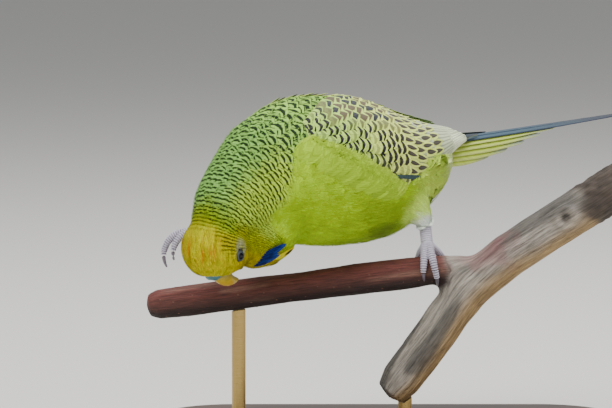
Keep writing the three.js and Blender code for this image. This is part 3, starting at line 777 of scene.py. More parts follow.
# Contour feathers: soft matt vanes with a little sheen at the edges
contourFeather = featherMaterial(
    "contourFeather", {"wanderScale": 700.0, "wander": 0.2, "bar": (0.42, 0.55, 0.92, 1.0), "slant": 1.4,
                       "streakScale": 3.4, "shade": (0.7, 1.22), "bump": 0.35, "shaft": None},
    {"Roughness": 0.85, "Sheen Weight": 0.03, "Sheen Roughness": 0.5, "Specular IOR Level": 0.06})

print("skin")
ground, bar, amount = markings(surface)
depth = coat["depthFace"] + (coat["depthBody"] - coat["depthFace"]) * smooth(12, 40, distance)
depth *= 1 - 0.5 * thighShare(surface)[0]
depth = np.where(faceAway < 1.2, 0.25, np.where(eyeAway < 1.2, 0.35, depth))
depth = smoothed(depth, edges, len(surface), 6)
inner = smoothed(surface - surfaceNormals * depth[:, None], edges, len(surface), 2)
none = np.zeros(len(ground))
# the skin under the vanes is the plumage's colour painted darker, as shade in the gaps between them
setAttribute(skin.data, "ground", np.c_[ground * 0.62, none + 1])
setAttribute(skin.data, "bars", np.c_[bar, amount * 0.8])
setAttribute(skin.data, "vane", np.c_[none, rowsAt, none])
setPoints(skin.data, toWorld(inner))
finished(skin, contourFeather, "green_feathers", *fleshNodes)

print("vanes")


def vaneLayer(name, roots, seed):
    rng = np.random.default_rng(seed)
    k = nearestPoints(roots)
    length = along[k] * coat["overlap"] * (1 + 0.06 * rng.normal(size=len(roots)))
    half = across[k] * 0.74 * (1 + 0.08 * rng.normal(size=len(roots)))
    lowLift = -0.75 * depth[k]
    tipLift = coat["tipLift"] + 0.10 * rng.random(len(roots)) * smooth(8, 30, distance[k])
    curl = 0.3 + 0.5 * smooth(30, 55, distance[k])
    points, faces, wide, back, tuft = vanes(roots, length, half, lowLift, tipLift, curl, rng)
    each = coat["rows"] * coat["columns"]
    # the mark belongs to where the tip lies
    tips = points.reshape(-1, each, 3)[:, -3]
    ground, bar, amount = markings(tips)
    # vanes on the face are painted up to a fifth darker, as shade beneath the barbs; the rest is random tone
    shade = 1 + 0.07 * rng.normal(size=(len(roots), 1)) - 0.2 * smooth(24, 12, distance[k])[:, None]
    spread = spreading(each)
    waves = back / spread(along[k])
    seeds = spread(rng.random(len(roots)) * 9)
    attributes = {"ground": np.c_[spread(np.clip(ground * shade, 0, 1)), np.ones(len(points))],
                  "bars": np.c_[spread(bar), spread(amount)],
                  "vane": np.c_[wide, waves, seeds]}
    uvs = spread(tuftPlace(roots, k)) + 0.5 * coat["patch"] * tuft
    return newPiece(name, toWorld(points), faces, contourFeather, attributes, uvs)


def barbLayer(name, roots, seed, each):
    rng = np.random.default_rng(seed)
    k0 = nearestPoints(roots)
    plain = 1 - markings(roots)[2]
    rootOf = np.repeat(np.arange(len(roots)), each)
    rootOf = rootOf[rng.random(len(rootOf)) < 0.3 + 0.7 * plain[rootOf]]
    count = len(rootOf)
    k = k0[rootOf]
    start = (0.35 + 0.6 * rng.random(count)) * along[k] * coat["overlap"]
    aside = (rng.random(count) * 2 - 1) * across[k] * 0.7
    side = np.cross(surfaceNormals[k], lie[k])
    base, kb = settle(roots[rootOf] + lie[k] * start[:, None] + side * aside[:, None])
    side = np.cross(surfaceNormals[kb], lie[kb])
    fan = aside / across[k] * 0.35 + 0.12 * rng.normal(size=count)
    way = unit(lie[kb] + side * fan[:, None])
    onFace = smooth(26, 12, distance[k])
    full = smooth(6, 30, distance[k])
    longs = along[k] * (0.75 + 0.75 * rng.random(count)) * (0.8 + 0.5 * plain[rootOf] + 0.7 * onFace)
    width = coat["barbWidth"] * (0.7 + 0.5 * rng.random(count)) * (0.85 + 0.15 * full)
    middle, km = settle(base + way * (0.55 * longs)[:, None])
    tip, kt = settle(base + way * longs[:, None])
    lifts = [low + spare * rng.random(count) for low, spare in ((0.02, 0.06), (0.18, 0.14), (0.14, 0.22))]
    lifts = [lift * (0.5 + 0.5 * full) + coat["tipLift"] * 0.6 for lift in lifts]
    steady = ((np.linalg.norm(tip - surface[kt], axis=1) < coat["strayReach"])
              & (np.linalg.norm(middle - surface[km], axis=1) < coat["strayReach"])
              & (np.linalg.norm(tip - base, axis=1) < 1.3 * longs)
              & ((surfaceNormals[kb] * surfaceNormals[kt]).sum(1) > 0.5))
    middle, tip = np.where(steady[:, None], middle, base), np.where(steady[:, None], tip, base)
    cross = np.cross(surfaceNormals[kb], way) * (width * steady)[:, None] * 0.5
    b = base + surfaceNormals[kb] * lifts[0][:, None]
    m = middle + surfaceNormals[km] * lifts[1][:, None]
    t = tip + surfaceNormals[kt] * lifts[2][:, None]
    points = np.stack([at + cross * wide for at, wide in
                       ((b, -1), (b, 1), (m, -0.8), (m, 0.8), (t, -0.12), (t, 0.12))], 1)
    quad = np.array([[0, 2, 3, 1], [2, 4, 5, 3]])
    faces = (quad[None] + (np.arange(count) * 6)[:, None, None]).reshape(-1, 4)
    ground, bar, amount = markings(middle)
    # barbs are painted a little lighter than the vanes, more on the face, as light on the top strands; the rest
    # is random tone
    shade = 1.04 + 0.06 * onFace[:, None] + (0.13 + 0.15 * onFace[:, None]) * rng.normal(size=(count, 1))
    shade = shade * (1 + 0.07 * rng.normal(size=(count, 3)))
    spread = spreading(6)
    row = np.stack([rowsAt[at] for at in (kb, kb, km, km, kt, kt)], 1)
    waves = 0.85 - row + np.round(row.mean())
    attributes = {"ground": np.c_[spread(np.clip(ground * shade, 0, 1)), np.ones(count * 6)],
                  "bars": np.c_[spread(bar), spread(amount * 0.9)],
                  "vane": np.c_[np.tile([-0.1, 0.1], count * 3), waves.ravel(), spread(rng.random(count) * 9)]}
    corner = np.array([(-1, -1), (1, -1), (-1, 0), (1, 0), (-1, 1), (1, 1)]) * 0.5 * coat["patch"]
    uvs = np.repeat(tuftPlace(roots, k0)[rootOf], 6, axis=0) + np.tile(corner, (count, 1))
    return newPiece(name, toWorld(points.reshape(-1, 3)), faces, contourFeather,
                    attributes, uvs)


vaneLayer("vanesA", roots[0::2], 21)
vaneLayer("vanesB", roots[1::2], 22)
shuffled = np.random.default_rng(5).permutation(len(roots))
for n in range(3):
    barbLayer(f"barbs{'ABC'[n]}", roots[shuffled[n::3]], 31 + n, coat["barbsPerVane"])
print("coat done")

# wings: coverts in rows over the folded flight feathers, on the wing's own envelope
wing = {
    "stations": [(25, 34.5, 22.2, 25.4, 27, 46), (13, 34.5, 24.8, 26.6, 12, 62), (-4, 35, 24.4, 24.4, -5, 78),
                 (-18, 36, 22, 20, -20, 84), (-31, 37, 18, 14.6, -30, 84), (-46, 39, 11.8, 8.8, -26, 82),
                 (-60, 41.8, 7, 4, -2, 72), (-72, 43.2, 4, 2, 10, 60)],
    "tips": {"left": -63.0, "right": -72.0},
    "rowStep": 2.9,
    "barStep": 2.1,
    "flankCount": 420,
    "tailCovertCount": 260,
    "sheet": 324,          # most feathers on one baked sheet
    "covertWidth": 4.3,
    "edge": "#D8E86C", "frontEdge": "#B4DA5A", "flankEdge": "#90BC14",
    "bar": "#04090D", "rearBar": "#221E16", "spot": "#383128", "scapular": "#5A4E30",
    "secondary": "#E6F2C2", "primary": "#26363E", "primaryEdge": "#3A4C4E", "primaryVane": "#B8C77A",
    "primaryTip": "#2F3A44", "line": "#27332E", "lineEdge": "#EEF2D4", "lowBar": "#123B3A",
    "darkCentre": "#121B24",
}


def wingPlace(side, u, v, lift):
    row = runThrough(np.array(wing["stations"]), u)
    stretch = (wing["tips"][side] - 25) / (-72 - 25)
    angle = np.radians(row[..., 4] + (row[..., 5] - row[..., 4]) * v)
    aside, up = np.cos(angle), np.sin(angle)
    point = np.stack([25 + (row[..., 0] - 25) * stretch, row[..., 2] * aside, row[..., 1] + row[..., 3] * up], -1)
    out = unit(np.stack([np.zeros_like(aside), aside / row[..., 2], up / row[..., 3]], -1))
    point = point + out * np.asarray(lift)[..., None]
    return point * (1, 1 if side == "left" else -1, 1)


wingSteps = np.linspace(0, 1, 200)
wingGrid = wingPlace("left", *np.broadcast_arrays(wingSteps[:, None], np.linspace(0, 1, 24)[None, :], 0.0))
wingAcross = np.linalg.norm(np.diff(wingGrid, axis=1), axis=-1).sum(1)


def wingU(side, ahead):
    places = wingPlace(side, wingSteps, 0 * wingSteps, 0 * wingSteps)[:, 0]
    return np.interp(-np.asarray(ahead, float), -places, wingSteps)


# a set of vanes as flat arrays: points, faces, then across, back, and the shares across and along
def flatSet(points, faces, *parts):
    return points.reshape(-1, 3), faces, *(np.broadcast_to(part, points.shape[:-1]).ravel() for part in parts)


# each vane is given by its root and tip (mm ahead, share up the wing), half width, lifts and bow
def wingVanes(side, rootAhead, rootV, tipAhead, tipV, half, lowLift, tipLift, rows, columns, pointed=0.57):
    count = len(rootAhead)
    s = np.linspace(0, 1, rows) ** 0.85
    u0, u1 = wingU(side, rootAhead), wingU(side, tipAhead)
    u = u0[:, None] + (u1 - u0)[:, None] * s
    arc = np.interp(u, wingSteps, wingAcross)
    x = np.linspace(-1, 1, columns)
    shape = np.where(s < 0.4, 0.6 + s, np.sqrt(np.clip(1 - ((s - 0.4) / (pointed + 0.03)) ** 2, 0.012, 1)))
    wide = half[:, None, None] * shape[None, :, None] * x
    v = rootV[:, None] + (tipV - rootV)[:, None] * s
    vv = v[..., None] + wide / arc[..., None]
    lift = (lowLift[:, None] + (tipLift - lowLift)[:, None] * s)[..., None] - 0.03 * wide ** 2
    lift = lift + 0.07 * np.exp(-(x / 0.16) ** 2)
    points = wingPlace(side, np.broadcast_to(u[..., None], vv.shape), np.clip(vv, -0.12, 1.06), lift)
    length = np.abs(rootAhead - tipAhead)
    droop = 0.62 * half[:, None, None] * (1 - np.sqrt(1 - 0.9 * x ** 2))
    back = length[:, None, None] * (1 - s)[None, :, None] - droop
    faces = gridQuads(rows, columns, count)
    return flatSet(points, faces[:, ::-1] if side == "left" else faces, wide, back, x, s[None, :, None])


# Coverts and flight feathers: tighter vanes than the body's, with a faint gloss along the shafts
covertFeather = featherMaterial(
    "covertFeather", {"wanderScale": 600.0, "wander": 0.22, "bar": (0.36, 0.44, 0.86, 0.94), "slant": 2.4,
                      "streakScale": 3.0, "shade": (0.82, 1.14), "bump": 0.3, "shaft": "#5C5A44"},
    {"Roughness": 0.6, "Sheen Weight": 0.15, "Specular IOR Level": 0.3})


# cell of a square sheet for one feather of many
def atlas(index, count, x, s):
    side = math.ceil(math.sqrt(count))
    index = np.asarray(index)
    return np.stack([(index % side + 0.5 + 0.44 * x) / side, (index // side + 0.06 + 0.88 * s) / side], -1)


# one piece from sets of points, faces, across, waves, seeds, ground, bars, perhaps spot and centre, and map
def featherPiece(name, sets, material):
    shift, faces = 0, []
    for one in sets:
        faces.append(one[1] + shift)
        shift += len(one[0])
    points, _, wide, waves, seeds, ground, bars, *spots, uvs = (np.concatenate(part) for part in zip(*sets))
    attributes = {"ground": ground, "bars": bars, "vane": np.c_[wide, waves, seeds]}
    attributes.update(zip(("spot", "centre"), spots))
    return newPiece(name, toWorld(points), np.concatenate(faces), material, attributes, uvs)


def coverts(side, seed):
    rng = np.random.default_rng(seed)
    sets = []
    made = 0
    rows = list(np.arange(22.5, -17, -wing["rowStep"])) + [-20.5, -26.0, -32.0, -38.0]
    for n, tip in enumerate(rows):
        rear = float(tip < -18)
        across = wing["covertWidth"] * (0.78 if n < 3 else 1.0) * (1 - 0.34 * rear)
        arc = np.interp(wingU(side, tip), wingSteps, wingAcross)
        count = max(2, int(round(arc / (across * 0.9))))
        v = (np.arange(count) + 0.5 + 0.25 * (n % 2) + 0.06 * rng.normal(size=count)) / count
        v = np.clip(v, 0.03 + 0.06 * smooth(0, -10, tip), 0.99)
        # rows lean back towards the top
        slope = 3.0 * (v - 0.4) * smooth(10, -25, tip)
        tips = tip + slope + 0.35 * rng.normal(size=count)
        big = smooth(0.5, 0.62, v) * smooth(17, 12, tips) * smooth(-19, -12, tips)
        long = wing["rowStep"] * (2.3 + 1.9 * rear + 0.9 * big)
        half = across * 0.66 * (1 + 0.35 * big) * (1 + 0.05 * rng.normal(size=count))
        roots = np.minimum(tips + long, 25.5)
        # edges dip under the body's vanes
        sunk = 1.5 * smooth(0.3, 0.02, v) * smooth(-16, -4, tips) + 1.1 * smooth(12, 24, tips)
        rootV, tipLift = v + 0.02 * rng.normal(size=count), 1.2 - sunk + 0.15 * rng.random(count)
        points, faces, wide, back, x, s = wingVanes(side, roots, rootV, tips, v - 0.03 * (1 - v), half,
                                                    -0.5 - sunk, tipLift, 9, 7)
        each = len(points) // count
        spread = spreading(each)
        low = smooth(0.24, 0.02, v)
        ground = mix(rgb(wing["frontEdge"]), rgb(wing["edge"]), smooth(16, -12, tips))
        ground = mix(ground, rgb(wing["flankEdge"]), low * smooth(-8, 6, tips))
        ground = np.clip(ground * (1 + 0.06 * rng.normal(size=(count, 1))), 0, 1)
        bar = mix(rgb(wing["bar"]), rgb(wing["rearBar"]), smooth(-2, -18, tips))
        bar = mix(bar, ground * 0.35 + rgb(wing["lowBar"]) * 0.5, low * 0.8)
        amount = (1 - rear) * (1 - 0.92 * big) * (1 - 0.45 * low * smooth(0, 12, tips))
        amount = amount * np.where(rng.random(count) < 0.1, 0.5, 1)
        centre = mix(rgb(wing["scapular"]), rgb(wing["spot"]), rear)
        centre = mix(centre, rgb(wing["darkCentre"]), big * (rng.random(count) < 0.3))
        spotAmount = np.maximum(rear * smooth(0.0, 0.15, 1 - v), big)
        spotX = x / spread(0.7 + 0.1 * big - 0.14 * rear)
        spotY = (back - spread(0.27 * long * rear + 0.4 * long * big * (1 - rear) + 1e-3)) / spread(
            np.maximum(0.22 * long * rear + 0.4 * long * big * (1 - rear), 0.3))
        period = spread(wing["barStep"] + (wing["rowStep"] - wing["barStep"]) * smooth(8, -12, tips))
        sets.append((points, faces, wide, back / period, spread(np.arange(count) * 0.7 + n),
                     np.c_[spread(ground), np.ones(count * each)], np.c_[spread(bar), spread(amount)],
                     np.c_[spotX, spotY, spread(spotAmount)], np.c_[spread(centre), np.ones(count * each)],
                     atlas(spread(made + np.arange(count)), wing["sheet"], x, s)))
        made += count
    return sets


def flights(side, seed):
    rng = np.random.default_rng(seed)
    tipOf = wing["tips"][side]
    sets = []
    for kind, count in (("primary", 9), ("secondary", 12)):
        k = np.arange(count)
        share = k / (count - 1)
        if kind == "primary":
            roots, rootV = np.full(count, 5.0), 0.10 - 0.10 * share
            tips, tipV = tipOf + 1.0 + 12 * share ** 1.1, 0.42 - 0.42 * share
            half, lift = np.full(count, 1.9), np.linspace(-0.6, 0.1, count)
        else:
            roots, rootV = np.full(count, -12.0), 0.14 + 0.80 * share
            tips, tipV = -55.0 + 7.5 * share + 0.8 * rng.normal(size=count), 0.10 + 0.84 * share
            half, lift = np.full(count, 2.3), np.linspace(0.25, 0.95, count)
        points, faces, wide, back, x, s = wingVanes(side, roots, rootV, tips, tipV, half,
                                                    lift - 0.2, lift, 20, 7, 0.6)
        each = len(points) // count
        spread = spreading(each)
        ground = rgb(wing[kind]) * (1 + 0.05 * rng.normal(size=(count, 1)))
        ground = spread(np.clip(ground, 0, 1))
        if kind == "primary":
            ground = mix(ground, rgb(wing["primaryVane"]), smooth(0.55, 0.8, -x))
            ground = mix(ground, rgb(wing["primaryTip"]), smooth(0.6, 1.0, s) * 0.6)
        else:
            ground = mix(ground, rgb(wing["lineEdge"]), smooth(0.5, 0.85, np.abs(x)))
            line = smooth(0.24, 0.36, np.abs(x)) * smooth(0.66, 0.54, np.abs(x))
            ground = mix(ground, rgb(wing["line"]), 0.85 * line)
        none = np.zeros(len(points))
        sets.append((points, faces, wide, back / wing["rowStep"], spread(k * 0.9), np.c_[ground, none + 1],
                     np.c_[ground, none], np.c_[none, none, none], np.c_[ground, none + 1],
                     atlas(spread(k + (kind == "secondary") * 9), 25, x, s)))
    return sets


# vanes laid from places on the body to places off it, as joined patches
def drapedVanes(start, startNormal, end, endNormal, half, bulge, rng, rows=8, columns=5, ragged=0.05):
    s, x = np.linspace(0, 1, rows), np.linspace(-1, 1, columns)
    line = start[:, None] + (end - start)[:, None] * s[:, None]
    normal = unit(startNormal[:, None] * (1 - s)[:, None] + endNormal[:, None] * s[:, None])
    line = line + normal * (bulge[:, None] * np.sin(np.pi * s))[..., None]
    ahead = unit(np.gradient(line, axis=1))
    side = unit(np.cross(normal, ahead))
    wide = half[:, None, None] * vaneShape(s)[None, :, None] * x
    length = np.linalg.norm(end - start, axis=1)
    fringe = ragged * length[:, None, None] * rng.normal(size=wide.shape) * (s ** 3)[None, :, None]
    sag = normal[:, :, None] * (0.04 * wide ** 2)[..., None]
    points = line[:, :, None] + side[:, :, None] * wide[..., None] - sag
    points = points + ahead[:, :, None] * fringe[..., None]
    back = length[:, None, None] * (1 - s)[None, :, None]
    return flatSet(points, gridQuads(rows, columns, len(start)), wide, back, x, s[None, :, None])


# colours, wave and map for a set of vanes with no bars
def plainSet(vaneSet, ground, rng):
    points, faces, wide, back, x, s = vaneSet
    count, ones = len(ground), np.ones(len(points))
    spread = spreading(len(points) // count)
    ground = np.clip(ground * (1 + 0.12 * rng.normal(size=(count, 1))), 0, 1)
    return (points, faces, wide, back / 2.0, spread(rng.random(count) * 9), np.c_[spread(ground), ones],
            np.c_[spread(ground), 0 * ones], atlas(spread(np.arange(count)), count, x, s))


# soft flank feathers that rise from the body and lap over the folded wing's lower front edge
def flankFeathers(side, seed):
    rng = np.random.default_rng(seed)
    count = wing["flankCount"]
    tips = 27 - 42 * rng.random(count)
    reach = np.interp(tips, (-15, -6, 8, 27), (0.03, 0.08, 0.13, 0.19))
    share = rng.random(count)
    tipV = reach * (1.45 * share - 0.45)
    end = wingPlace(side, wingU(side, tips), tipV, 1.0 + 0.5 * share)
    endNormal = unit(end - wingPlace(side, wingU(side, tips), tipV, 0 * tips))
    start, k = settle(end + np.stack([4.5 + 3 * rng.random(count), 0 * tips, -3.6 - 2.6 * rng.random(count)], 1))
    start = start - 0.5 * surfaceNormals[k]
    half, bulge = 1.5 + 0.4 * rng.random(count), 0.35 + 0.3 * rng.random(count)
    laid = drapedVanes(start, surfaceNormals[k], end, endNormal, half, bulge, rng)
    ground = mix(plumage["flank"], plumage["neck"], smooth(0.4, 1.0, share) * 0.6)
    return [plainSet(laid, ground, rng)]


# coverts that taper from the rump and the vent on to the tail
def tailCoverts(seed):
    rng = np.random.default_rng(seed)
    count = wing["tailCovertCount"]
    around = 2 * np.pi * rng.random(count)
    ahead = -24 - 12 * rng.random(count)
    out = np.stack([0 * around, np.cos(around), np.sin(around)], 1)
    start, k = settle(np.stack([ahead, 7 * np.cos(around), 37.5 + 7 * np.sin(around)], 1))
    long = 11 + 4 * rng.random(count) + 3 * smooth(0.2, 1, out[:, 2])
    behind = ahead - long
    axis = 41 + (-34 - behind) * 0.07 - 1.4
    width, height = np.interp(behind, (-52, -36), (3.6, 6.5)), np.interp(behind, (-52, -36), (2.2, 5.5))
    end = np.stack([behind, width * np.cos(around), axis + height * np.sin(around)], 1)
    start = start - 0.4 * surfaceNormals[k]
    half = 1.7 + 0.5 * rng.random(count)
    laid = drapedVanes(start, surfaceNormals[k], end, unit(out + [0.25, 0, 0]), half, 0.5 + 0 * ahead, rng)
    ground = mix(plumage["vent"], plumage["back"], smooth(-0.2, 0.5, out[:, 2]))
    ground = mix(ground, plumage["ventPale"], 0.6 * smooth(0.1, -0.6, out[:, 2]) * smooth(-28, -34, ahead))
    return [plainSet(laid, ground, rng)]


# the outermost primary's blue-grey edge, below the last coverts
def primaryEdge(side, seed):
    rng = np.random.default_rng(seed)
    start, end = (wingPlace(side, wingU(side, [ahead]), np.array([0.05]), np.array([lift]))
                  for ahead, lift in ((-5.0, 1.2), (-29.0, 1.6)))
    outwards = unit(end * [0, 1, 0] + [0, 0, -2.0])
    laid = drapedVanes(start, outwards, end, outwards, np.array([0.75]), np.array([1.0]), rng, 14, 5, 0.0)
    return [plainSet(laid, rgb(wing["primaryEdge"])[None], rng)]


print("wings")
for side in ("left", "right"):
    featherPiece(f"coverts_{side}", coverts(side, 41), covertFeather)
    piece = featherPiece(f"flights_{side}", flights(side, 43), covertFeather)
    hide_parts(f"wing_{side}")
    featherPiece(f"flankFeathers_{side}", flankFeathers(side, 47), contourFeather)
    featherPiece(f"primaryEdge_{side}", primaryEdge(side, 48), contourFeather)
featherPiece("tailCoverts", tailCoverts(49), contourFeather)

print("tail")
tail = {
    "root": (-34.0, 41.0), "pitch": 4.0, "pairs": 6, "lengths": (103.0, 65.0, 31.0), "half": 3.4,
    "middle": "#25495A", "middleTip": "#1F2738", "middleEdge": "#39405A", "side": "#A9BC3A",
    "sideTip": "#7C877C", "edge": "#D5DB8A",
}


def tailVanes():
    sets = []
    rng = np.random.default_rng(51)
    rows, columns = 30, 9
    u = np.linspace(0, 1, rows)
    x = np.linspace(-1, 1, columns)
    for pair in range(tail["pairs"]):
        share = pair / (tail["pairs"] - 1)
        longest, second, shortest = tail["lengths"]
        length = longest if pair == 0 else second + (shortest - second) * (pair - 1) / (tail["pairs"] - 2)
        for side in (1, -1):
            fat = 0.62 + 0.38 * np.sin(np.pi * np.minimum(1, 0.3 + 0.8 * u))
            narrow = np.sqrt(np.clip(1 - (np.maximum(0, u - 0.55) / 0.452) ** 2, 0.004, 1))
            half = (tail["half"] + 0.25 * pair) * fat * narrow * 0.97
            across = half[:, None] * x
            lift = -0.035 * across ** 2 + 0.16 * np.exp(-(across / 0.35) ** 2)
            lift = lift + 0.02 * rng.normal(size=across.shape)
            p = np.stack([np.broadcast_to(-length * 0.995 * u[:, None], across.shape), across, lift], -1)
            p = p.reshape(-1, 3)
            p = p @ turn("x", -side * (8 + 46 * share)).T
            p = p + (0, side * (1.2 + 2.8 * share), -0.55 * pair - 0.7 * share)
            p = p @ turn("y", -6 * share * share).T @ turn("z", -side * 5 * share).T @ turn("y", tail["pitch"]).T
            p = p + (tail["root"][0], 0, tail["root"][1])
            faces = gridQuads(rows, columns)[:, [0, 3, 2, 1]]
            xx = np.broadcast_to(x, across.shape).ravel()
            uu = np.broadcast_to(u[:, None], across.shape).ravel()
            if pair == 0:
                ground = mix(rgb(tail["middle"]), rgb(tail["middleTip"]), smooth(0.35, 0.95, uu))
                ground = mix(ground, rgb(tail["middleEdge"]), 0.5 * smooth(0.75, 1.0, np.abs(xx)))
            else:
                ground = mix(rgb(tail["side"]), rgb(tail["sideTip"]), smooth(0.72, 0.98, uu))
                ground = mix(ground, rgb(tail["middle"]), 0.75 * smooth(0.1, -0.5, xx * side) * (1 - share))
                ground = mix(ground, rgb(tail["edge"]), 0.6 * smooth(0.7, 1.0, xx * side))
            ones, none = np.ones(len(p)), np.zeros(len(p))
            sets.append((p, faces, across.ravel(), (1 - uu) * length / 2.6, none + pair * 1.7 + side * 0.3,
                         np.c_[ground, ones], np.c_[ground, none], np.c_[none, none, none],
                         np.c_[ground, ones], atlas(2 * pair + (side > 0), 12, xx, uu)))
    return sets


tailPiece = featherPiece("tailFeathers", tailVanes(), covertFeather)
tailPiece = applied(tailPiece, ("SOLIDIFY", {"thickness": 0.28 * mm, "offset": 0.0}))
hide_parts("tail")

# cheek patches and throat spots: single long vanes laid on the coat
print("cheek patches")
patch = {
    # start and end of each in the head's frame for the left side, and its half width
    "blue": [((7.8, 5.8, -12.0), (5.2, 10.4, -15.2), 1.1), ((7.2, 7.0, -11.8), (4.7, 11.3, -16.2), 1.1),
             ((6.6, 8.2, -11.6), (4.2, 12.3, -17.2), 1.15), ((5.7, 9.2, -11.7), (3.3, 12.6, -16.4), 1.05),
             ((4.8, 10.1, -11.8), (2.4, 13.0, -16.0), 1.05), ((4.0, 10.9, -12.1), (1.6, 13.5, -17.2), 1.1),
             ((3.3, 11.6, -12.4), (0.8, 14.0, -18.4), 1.15)],
    "spot": [((5.4, 11.2, -17.0), (4.0, 12.0, -25.6), 1.9), ((9.0, 5.6, -16.5), (9.5, 4.6, -24.5), 1.8),
             ((10.2, 0.4, -16.0), (11.0, 0.0, -23.5), 1.7)],
    "tone": "#0C1A4A", "light": "#2C52B4", "black": "#070B14", "yellow": "#CFC400",
}


def laidVanes(entries, isSpot, seed):
    rng = np.random.default_rng(seed)
    sets = []
    rows, columns = 14, 9
    s, x = np.linspace(0, 1, rows), np.linspace(-1, 1, columns)
    for n, (start, end, half) in enumerate(entries):
        for side in (1, -1):
            if side < 0 and abs(start[1]) < 1:
                continue
            a, b = fromHead(np.array(start) * (1, side, 1)), fromHead(np.array(end) * (1, side, 1))
            line = a + (b - a) * s[:, None]
            line, k = settle(line)
            normal = surfaceNormals[k]
            for _ in range(4):
                line[1:-1] = 0.5 * line[1:-1] + 0.25 * (line[:-2] + line[2:])
                normal[1:-1] = unit(0.5 * normal[1:-1] + 0.25 * (normal[:-2] + normal[2:]))
            ahead = unit(np.gradient(line, axis=0))
            across = unit(np.cross(normal, ahead))
            shape = np.where(s < 0.4, 0.55 + 1.1 * s, np.sqrt(np.clip(1 - ((s - 0.4) / 0.61) ** 2, 0.012, 1)))
            wide = half * shape[:, None] * x
            lift = 0.35 + (0.35 + 0.1 * n * (not isSpot)) * s[:, None] - 0.05 * wide ** 2
            ragged = 0.12 * half * rng.normal(size=wide.shape) * (s ** 2)[:, None]
            p = (line[:, None] + across[:, None] * wide[..., None] + normal[:, None] * lift[..., None]
                 + ahead[:, None] * ragged[..., None])
            faces = gridQuads(rows, columns)
            p = p.reshape(-1, 3)
            xx, ss = (np.broadcast_to(part, wide.shape).ravel() for part in (x, s[:, None]))
            if isSpot:
                oval = np.sqrt((xx / 0.55) ** 2 + ((ss - 0.66) / 0.24) ** 2)
                ground = mix(rgb(patch["yellow"]), rgb(patch["black"]), smooth(1.15, 0.8, oval))
            else:
                light = 0.5 * smooth(0.6, 0.9, ss) * smooth(0.9, 0.2, np.abs(xx))
                light = light + 0.45 * smooth(0.7, 1, np.abs(xx))
                ground = mix(rgb(patch["tone"]), rgb(patch["light"]), light)
            length = np.linalg.norm(b - a)
            ones, none = np.ones(len(p)), np.zeros(len(p))
            sets.append((p, faces, wide.ravel() * 0.6, (1 - ss) * length / 1.6, none + n, np.c_[ground, ones],
                         np.c_[ground, none], atlas(len(sets), 16, xx, ss)))
    return sets


featherPiece("cheekPatch", laidVanes(patch["blue"], False, 61), contourFeather)
featherPiece("throatSpots", laidVanes(patch["spot"], True, 62), contourFeather)

# eyes: a dark wet ball in a ring of bare beaded skin
print("eyes")
eye = {"radius": 2.2, "opening": 1.16, "ring": 1.66, "look": (0.10, 1.0, -0.04),
       "iris": "#17110D", "pupil": "#020203", "ringTones": ("#414D53", "#1C262C")}

# Wet eyeball: near-black iris that a window lights, under a clear glossy coat
eyeball, tree, shader = newMaterial("wetEyeball", {"Roughness": 0.08, "Coat Weight": 0.25, "Coat Roughness": 0.03,
                                                   "Specular IOR Level": 0.15})
paint(tree, shader, addNode(tree, "ShaderNodeAttribute", {"attribute_name": "ground"}).outputs["Color"])

# Bare skin of the eye ring: matt, finely pebbled, blue-grey
bareSkin = mottled("bareEyeSkin", eye["ringTones"], 4500.0, 0.55, isCells=True, strength=0.5)


# surface of revolution in the head's frame about an axis through a point
def revolved(centre, axis, profile, sides):
    axis = unit(np.array(axis, float))
    first = unit(np.cross(axis, (0, 0, 1.0)))
    second = np.cross(axis, first)
    angle = np.linspace(0, 2 * np.pi, sides, endpoint=False)
    ring = first * np.cos(angle)[:, None] + second * np.sin(angle)[:, None]
    points = np.concatenate([centre + axis * h + ring * r for r, h in profile])
    grid = np.arange(len(profile) * sides).reshape(-1, sides)
    after = np.roll(grid, -1, axis=1)
    faces = np.stack([grid[:-1], after[:-1], after[1:], grid[1:]], -1).reshape(-1, 4)
    return points, faces


for side, name in ((1, "left"), (-1, "right")):
    centre = np.array(bird["eye"]) * (1, side, 1)
    look = unit(np.array(eye["look"]) * (1, side, 1))
    profile = [(max(eye["radius"] * math.sin(t), 1e-4), eye["radius"] * math.cos(t))
               for t in np.linspace(0.0, math.pi, 33)]
    points, faces = revolved(centre, look, profile, 40)
    faces = faces[:, ::-1]
    off = np.linalg.norm(np.cross(points - centre, look), axis=1)
    ahead = ((points - centre) @ look) > 0
    tone = mix(rgb(eye["iris"]), rgb(eye["pupil"]), smooth(0.95, 0.8, off) * ahead)
    ball = newPiece(f"eyeball_{name}", toWorld(fromHead(points)), faces, eyeball,
                    {"ground": np.c_[tone, np.ones(len(points))]})
    merged = bmesh.new()
    merged.from_mesh(ball.data)
    bmesh.ops.remove_doubles(merged, verts=merged.verts, dist=2e-6)
    bmesh.ops.recalc_face_normals(merged, faces=merged.faces)
    merged.to_mesh(ball.data)
    merged.free()
    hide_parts(f"eye_{name}")
    # the ring's section as mm from the line of sight and mm ahead
    lid = [(eye["opening"] - 0.1, 1.72), (eye["opening"], 1.95), (1.25, 2.08), (1.36, 2.14), (1.5, 2.09),
           (1.6, 1.98), (eye["ring"], 1.8), (1.9, 1.4), (2.0, 0.9)]
    points, faces = revolved(centre, look, lid, 40)
    newPiece(f"eyeRing_{name}", toWorld(fromHead(points)), faces[:, ::-1], bareSkin)

print("bill and cere")
bill = {"tip": "#B98408", "middle": "#B99A10", "root": "#4F5A22", "cere": ("#265A56", "#4C7F8C")}
